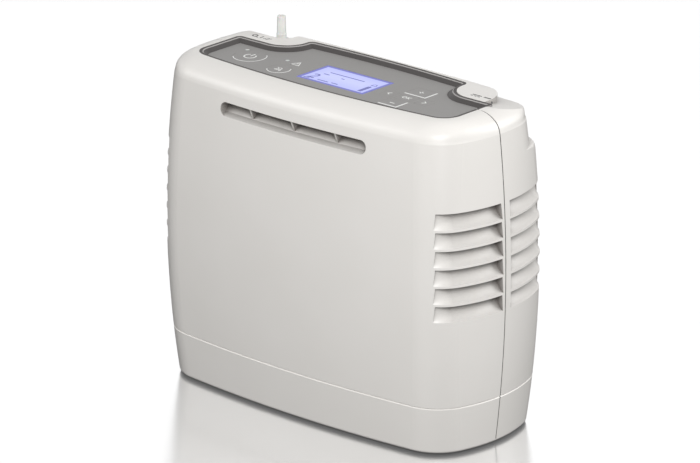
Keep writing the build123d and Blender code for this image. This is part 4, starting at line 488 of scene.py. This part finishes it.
def finish_piece(mesh, name, finish, body):
    """Turn a bmesh into an object that rides on a body."""
    bmesh.ops.remove_doubles(mesh, verts=mesh.verts, dist=MERGE_WITHIN)
    bmesh.ops.recalc_face_normals(mesh, faces=mesh.faces)
    data = bpy.data.meshes.new(name)
    mesh.to_mesh(data)
    mesh.free()
    data.materials.append(finish)
    piece = bpy.data.objects.new(name, data)
    bpy.context.scene.collection.objects.link(piece)
    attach(piece, body)
    print(f"{name}: {len(data.polygons)} faces on {body}")
    return piece


def line_stroke(mesh, points, width, z):
    """Push an edge along a line of points in mm, mitred at the corners."""
    line = [Vector((x * MM, y * MM, z)) for x, y in points]
    edge = None
    for k, point in enumerate(line):
        legs = zip(line[max(k - 1, 0):k + 1], line[max(k, 1):k + 2])
        along = [(b - a).normalized() for a, b in legs]
        bend = sum(along, Vector()).normalized()
        across = Vector((-bend.y, bend.x, 0)) * width * MM / 2 / max(bend.dot(along[0]), MITRE_LIMIT)
        if edge is None:
            ends = [mesh.verts.new(point + across), mesh.verts.new(point - across)]
            edge = mesh.edges.new(ends)
        else:
            pushed = bmesh.ops.extrude_edge_only(mesh, edges=[edge])["geom"]
            ends = [v for v in pushed if isinstance(v, bmesh.types.BMVert)]
            edge = next(e for e in pushed if isinstance(e, bmesh.types.BMEdge))
            near = (previous[0] - previous[1]).normalized()
            ends.sort(key=lambda v: (v.co - point).dot(near), reverse=True)
            ends[0].co, ends[1].co = point + across, point - across
        previous = (point + across, point - across)


def arc_stroke(mesh, centre, radius, width, start, sweep, z):
    """Spin an edge round a centre in mm, through an angle in degrees."""
    middle = Vector((centre[0] * MM, centre[1] * MM, z))
    ray = Vector((cos(radians(start)), sin(radians(start)), 0))
    ends = [mesh.verts.new(middle + ray * (radius + side * width / 2) * MM) for side in (-1, 1)]
    edge = mesh.edges.new(ends)
    full = abs(sweep) >= 360
    bmesh.ops.spin(mesh, geom=ends + [edge], cent=middle, axis=(0, 0, 1), angle=radians(sweep),
                   steps=max(ARC_STEPS, round(abs(sweep) / ARC_STEP)), use_merge=full)


def ink(name, strokes, finish, body, z=None, thickness=INK_T):
    """Lay strokes on a surface. Each is ("line", points, width) or
    ("arc", centre, radius, width, start, sweep)."""
    level = PANEL_Z if z is None else z
    mesh = bmesh.new()
    for kind, *shape in strokes:
        (line_stroke if kind == "line" else arc_stroke)(mesh, *shape, level)
    bmesh.ops.recalc_face_normals(mesh, faces=mesh.faces)
    raised = bmesh.ops.extrude_face_region(mesh, geom=mesh.faces[:])["geom"]
    top = [v for v in raised if isinstance(v, bmesh.types.BMVert)]
    bmesh.ops.translate(mesh, verts=top, vec=(0, 0, thickness))
    return finish_piece(mesh, name, finish, body)


# white ink for the printed symbols, and also for the painted highlights on the keys' lit edges
white_ink_and_highlight = moulded("white_ink_and_painted_highlight", "#F2F2F0", "#E6E6E4", 0.40, 0.3, 0.004)
dark_ink = moulded("screen_printed_dark_ink", "#2F2E2F", "#3A393A", 0.45, 0.3, 0.004)
print("panel face at z in mm:", round(PANEL_Z / MM, 2))

# %% [markdown]
# The two round keys have a painted highlight, a white crescent along the side that the light falls on,
# and a symbol in the middle: a broken ring with a bar for power, a struck bell for silencing the alarm.
# The arrows and the plus, minus and OK keys sit in a cross, framed by two angled lines of painted
# highlight along their lit sides. What is drawn on a key rides on that key's own body, so it goes down
# with it, and places are given from the middle of each key, so a mark can't drift off it.

# %% Power and silence keys
def middle(name):
    """Centre of a node in plan, in mm."""
    low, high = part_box(name)
    return (low.x + high.x) / 2 / MM, (low.y + high.y) / 2 / MM


def moved(points, centre):
    """Points given from a centre, in the object's own place."""
    return [(centre[0] + x, centre[1] + y) for x, y in points]


power, quiet = middle("power_key"), middle("silence_key")
# painted highlight: a white crescent on the lit side of the power key
ink("power_ring_highlight", [("arc", power, 9.8, 0.62, 221, 188)], white_ink_and_highlight, "power_key")
ink("power_symbol", [("arc", power, 3.5, 0.85, 125, 290), ("line", moved([(0, 0.6), (0, 4.6)], power), 0.85)],
    white_ink_and_highlight, "power_key")
# painted highlight: a white crescent on the lit side of the silence key
ink("silence_ring_highlight", [("arc", quiet, 6.9, 0.62, 211, 190)], white_ink_and_highlight, "silence_key")
bell = [(-2.4, -1.2), (-1.5, -0.6), (-1.3, 1.4), (0, 2.4), (1.3, 1.4), (1.5, -0.6), (2.4, -1.2)]
ink("silence_symbol", [("line", moved(bell, quiet), 0.5),
                       ("line", moved([(-2.4, -1.4), (2.4, -1.4)], quiet), 0.5),
                       ("line", moved([(-2.6, 2.6), (2.6, -2.8)], quiet), 0.55)],
    white_ink_and_highlight, "silence_key")

# %% Signs round the cross of keys
alert = (quiet[0] + 1.4, quiet[1] + 14.2)
triangle = [(-3.0, -2.4), (3.0, -2.4), (0, 2.8), (-3.0, -2.4), (-2.0, -2.4)]
ink("alert_symbol", [("line", moved(triangle, alert), 0.6),
                     ("line", moved([(0, -0.6), (0, 1.0)], alert), 0.6)], white_ink_and_highlight, "unit")
plus, minus = middle("plus_key"), middle("minus_key")
# painted highlight along the lit sides of the plus key's border
ink("plus_border_highlight", [("line", moved([(-7.1, -6.35), (7.9, -6.35), (7.9, 4.6)], plus), 1.05)], white_ink_and_highlight, "unit")
ink("plus_symbol", [("line", moved([(-1.5, 0), (1.5, 0)], plus), 0.8),
                    ("line", moved([(0, -1.5), (0, 1.5)], plus), 0.8)], white_ink_and_highlight, "plus_key")
# painted highlight along the lit sides of the minus key's border
ink("minus_border_highlight", [("line", moved([(-6.6, -4.6), (6.5, -4.6), (6.5, 5.8)], minus), 1.05)], white_ink_and_highlight, "unit")
ink("minus_symbol", [("line", moved([(-1.6, 0), (1.6, 0)], minus), 0.8)], white_ink_and_highlight, "minus_key")
for side, name in ((1, "left_key"), (-1, "right_key")):
    chevron = [(0.9 * side, 1.6), (-0.9 * side, 0), (0.9 * side, -1.6)]
    ink(name.replace("key", "symbol"), [("line", moved(chevron, middle(name)), 0.7)], white_ink_and_highlight, name)
yes = middle("ok_key")
ink("ok_symbol", [("arc", (yes[0] - 1.7, yes[1]), 1.25, 0.5, 0, 360),
                  ("line", moved([(0.6, -1.5), (0.6, 1.5)], yes), 0.5),
                  ("line", moved([(2.6, 1.5), (0.8, 0), (2.6, -1.5)], yes), 0.5)],
    white_ink_and_highlight, "ok_key")

# %% [markdown]
# ## The screen's picture
# The lit picture shows the flow setting as a digit, lines of text that are too small to read at this
# size, and an upright battery bar by the right edge, with a small bell above it. All are strokes like
# those on the panel, but of dark blue liquid crystal that lets a little of the backlight through, and
# they lie on the window's face.

# %% Marks on the screen
SCREEN_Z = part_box("display_window")[1].z
SEGMENT_T = 0.02 * MM
SEGMENT_CLOUD = 1.5 * MM   # size of the faint unevenness of the dark blue
SEGMENT_GLOW = 0.5         # strength of the light that still comes through

segments, tree, shader = new_finish("lcd_segment", Roughness=0.10)
place = add_node(tree, "TexCoord").outputs["Object"]
cloud = add_node(tree, "TexNoise", {"Vector": place, "Scale": 1 / SEGMENT_CLOUD})
glow = add_node(tree, "Mix", {0: cloud.outputs[0], 6: linear("#3A42A8"), 7: linear("#4E56BE")},
                data_type="RGBA")
tree.links.new(glow.outputs[2], shader.inputs["Emission Color"])
shader.inputs["Base Color"].default_value = linear("#1E2468")
shader.inputs["Emission Strength"].default_value = SEGMENT_GLOW
digit = [("arc", (-18.1, -4.1), 1.8, 1.2, 160, -200),
         ("line", [(-16.5, -5.0), (-20.3, -9.0), (-15.8, -9.0)], 1.2)]
rows = [("line", [(x, y), (x + length, y)], 1.0) for x, y, length in
        ((-15.1, 4.7, 25.7), (-16.6, 0.7, 4.2), (-2.9, 0.2, 2.3), (-22.1, -10.6, 4.3), (-12.4, -9.5, 7.8),
         (-2.3, -9.2, 4.9))]
battery = [("line", [(19.4, -10.2), (19.4, -0.6)], 2.6), ("line", [(19.4, -0.4), (19.4, 0.2)], 1.2),
           ("arc", (19.7, 3.2), 1.3, 0.5, 0, 180),
           ("line", [(18.4, 3.2), (18.0, 2.0), (21.4, 2.0), (21.0, 3.2)], 0.5)]
centre = middle("display_window")
marks = []
for kind, where, *shape in digit + rows + battery:
    marks.append((kind, moved([where], centre)[0] if kind == "arc" else moved(where, centre), *shape))
ink("screen_marks", marks, segments, "unit", SCREEN_Z, SEGMENT_T)

# %% [markdown]
# ## Symbols beside the nozzle and the supply inlet
# Both stand on the rim behind the panel. The outlet has a ring with a short tail, a bar and two wavy
# lines for gas. The inlet has the standard sign for direct current, a full line over a broken one, with
# a short bar beside it. They are dark ink. The rim is curved, so each is drawn flat, and every point is
# then set on the skin, whose height a ray from above finds.

# %% Symbols on the housing
RAY_START = 300 * MM       # well above the object
DOWN = Vector((0, 0, -1))


def print_on_top(name, strokes):
    """Print strokes flat, then set every point on the skin."""
    piece = ink(name, strokes, dark_ink, "unit", 0.0)
    for vertex in piece.data.vertices:
        hit = nodes["rear_shell"].ray_cast(Vector((vertex.co.x, vertex.co.y, RAY_START)), DOWN)
        vertex.co.z += hit[1].z


def run(start, end, y):
    """A level line in mm, with a point every millimetre so that it can follow a curved skin."""
    steps = max(1, round(end - start))
    return [(start + (end - start) * k / steps, y) for k in range(steps + 1)]


outlet, supply = (-89.5, 17.4), (76.4, 16.4)
wave = [(0, 0), (1.2, 0.8), (2.4, 0), (3.6, 0.8)]
print_on_top("outlet_symbol", [("arc", outlet, 1.5, 0.8, 0, 360),
                               ("line", moved([(1.5, -1.2), (3.6, -1.9)], outlet), 0.6),
                               ("line", moved([(5.3, -1.8), (5.3, 1.7)], outlet), 0.7),
                               ("line", moved(moved(wave, (7.6, -1.6)), outlet), 0.5),
                               ("line", moved(moved(wave, (8.6, 0.2)), outlet), 0.5)])
print_on_top("supply_symbol", [("line", moved(run(0, 6.6, 0.4), supply), 0.9),
                               ("line", moved(run(0, 1.7, -1.4), supply), 0.7),
                               ("line", moved(run(2.5, 4.2, -1.4), supply), 0.7),
                               ("line", moved(run(5.0, 6.6, -1.4), supply), 0.7),
                               ("line", moved(run(8.6, 14.4, 0.2), supply), 1.3)])

# %% [markdown]
# ## Webs in the nozzle's notch
# Beside the nozzle the notch's floor and its side wall stop about two millimetres short of each other.
# Two small webs in the housing's own plastic close that slit: a plate under the floor, and a curved
# strip behind the wall, made by the same stroke function as the ink, only higher.

# %% Webs in the notch
WEB_X, WEB_Y, WEB_Z = (-75.5, -69.5), (24.0, 32.0), (187.6, 189.6)  # the plate, in mm
WEB_T, WEB_H = 0.8, 6.0    # the strip's thickness and height, in mm
WEB_LINE = [(-73.7, 23.1), (-72.2, 24.1), (-71.1, 25.2), (-70.35, 26.3), (-69.75, 27.4), (-69.5, 29.0),
            (-69.5, 31.5)]

web = bmesh.new()
size = [(high - low) * MM for low, high in (WEB_X, WEB_Y, WEB_Z)]
spot = Vector([(low + high) / 2 * MM for low, high in (WEB_X, WEB_Y, WEB_Z)])
bmesh.ops.create_cube(web, size=1.0, matrix=Matrix.Translation(spot) @ Matrix.Diagonal((*size, 1.0)))
plastic = finishes["housing_white"]
finish_piece(web, "notch_web", plastic, "unit")
ink("notch_wall", [("line", WEB_LINE, WEB_T)], plastic, "unit", WEB_Z[0] * MM, WEB_H * MM)
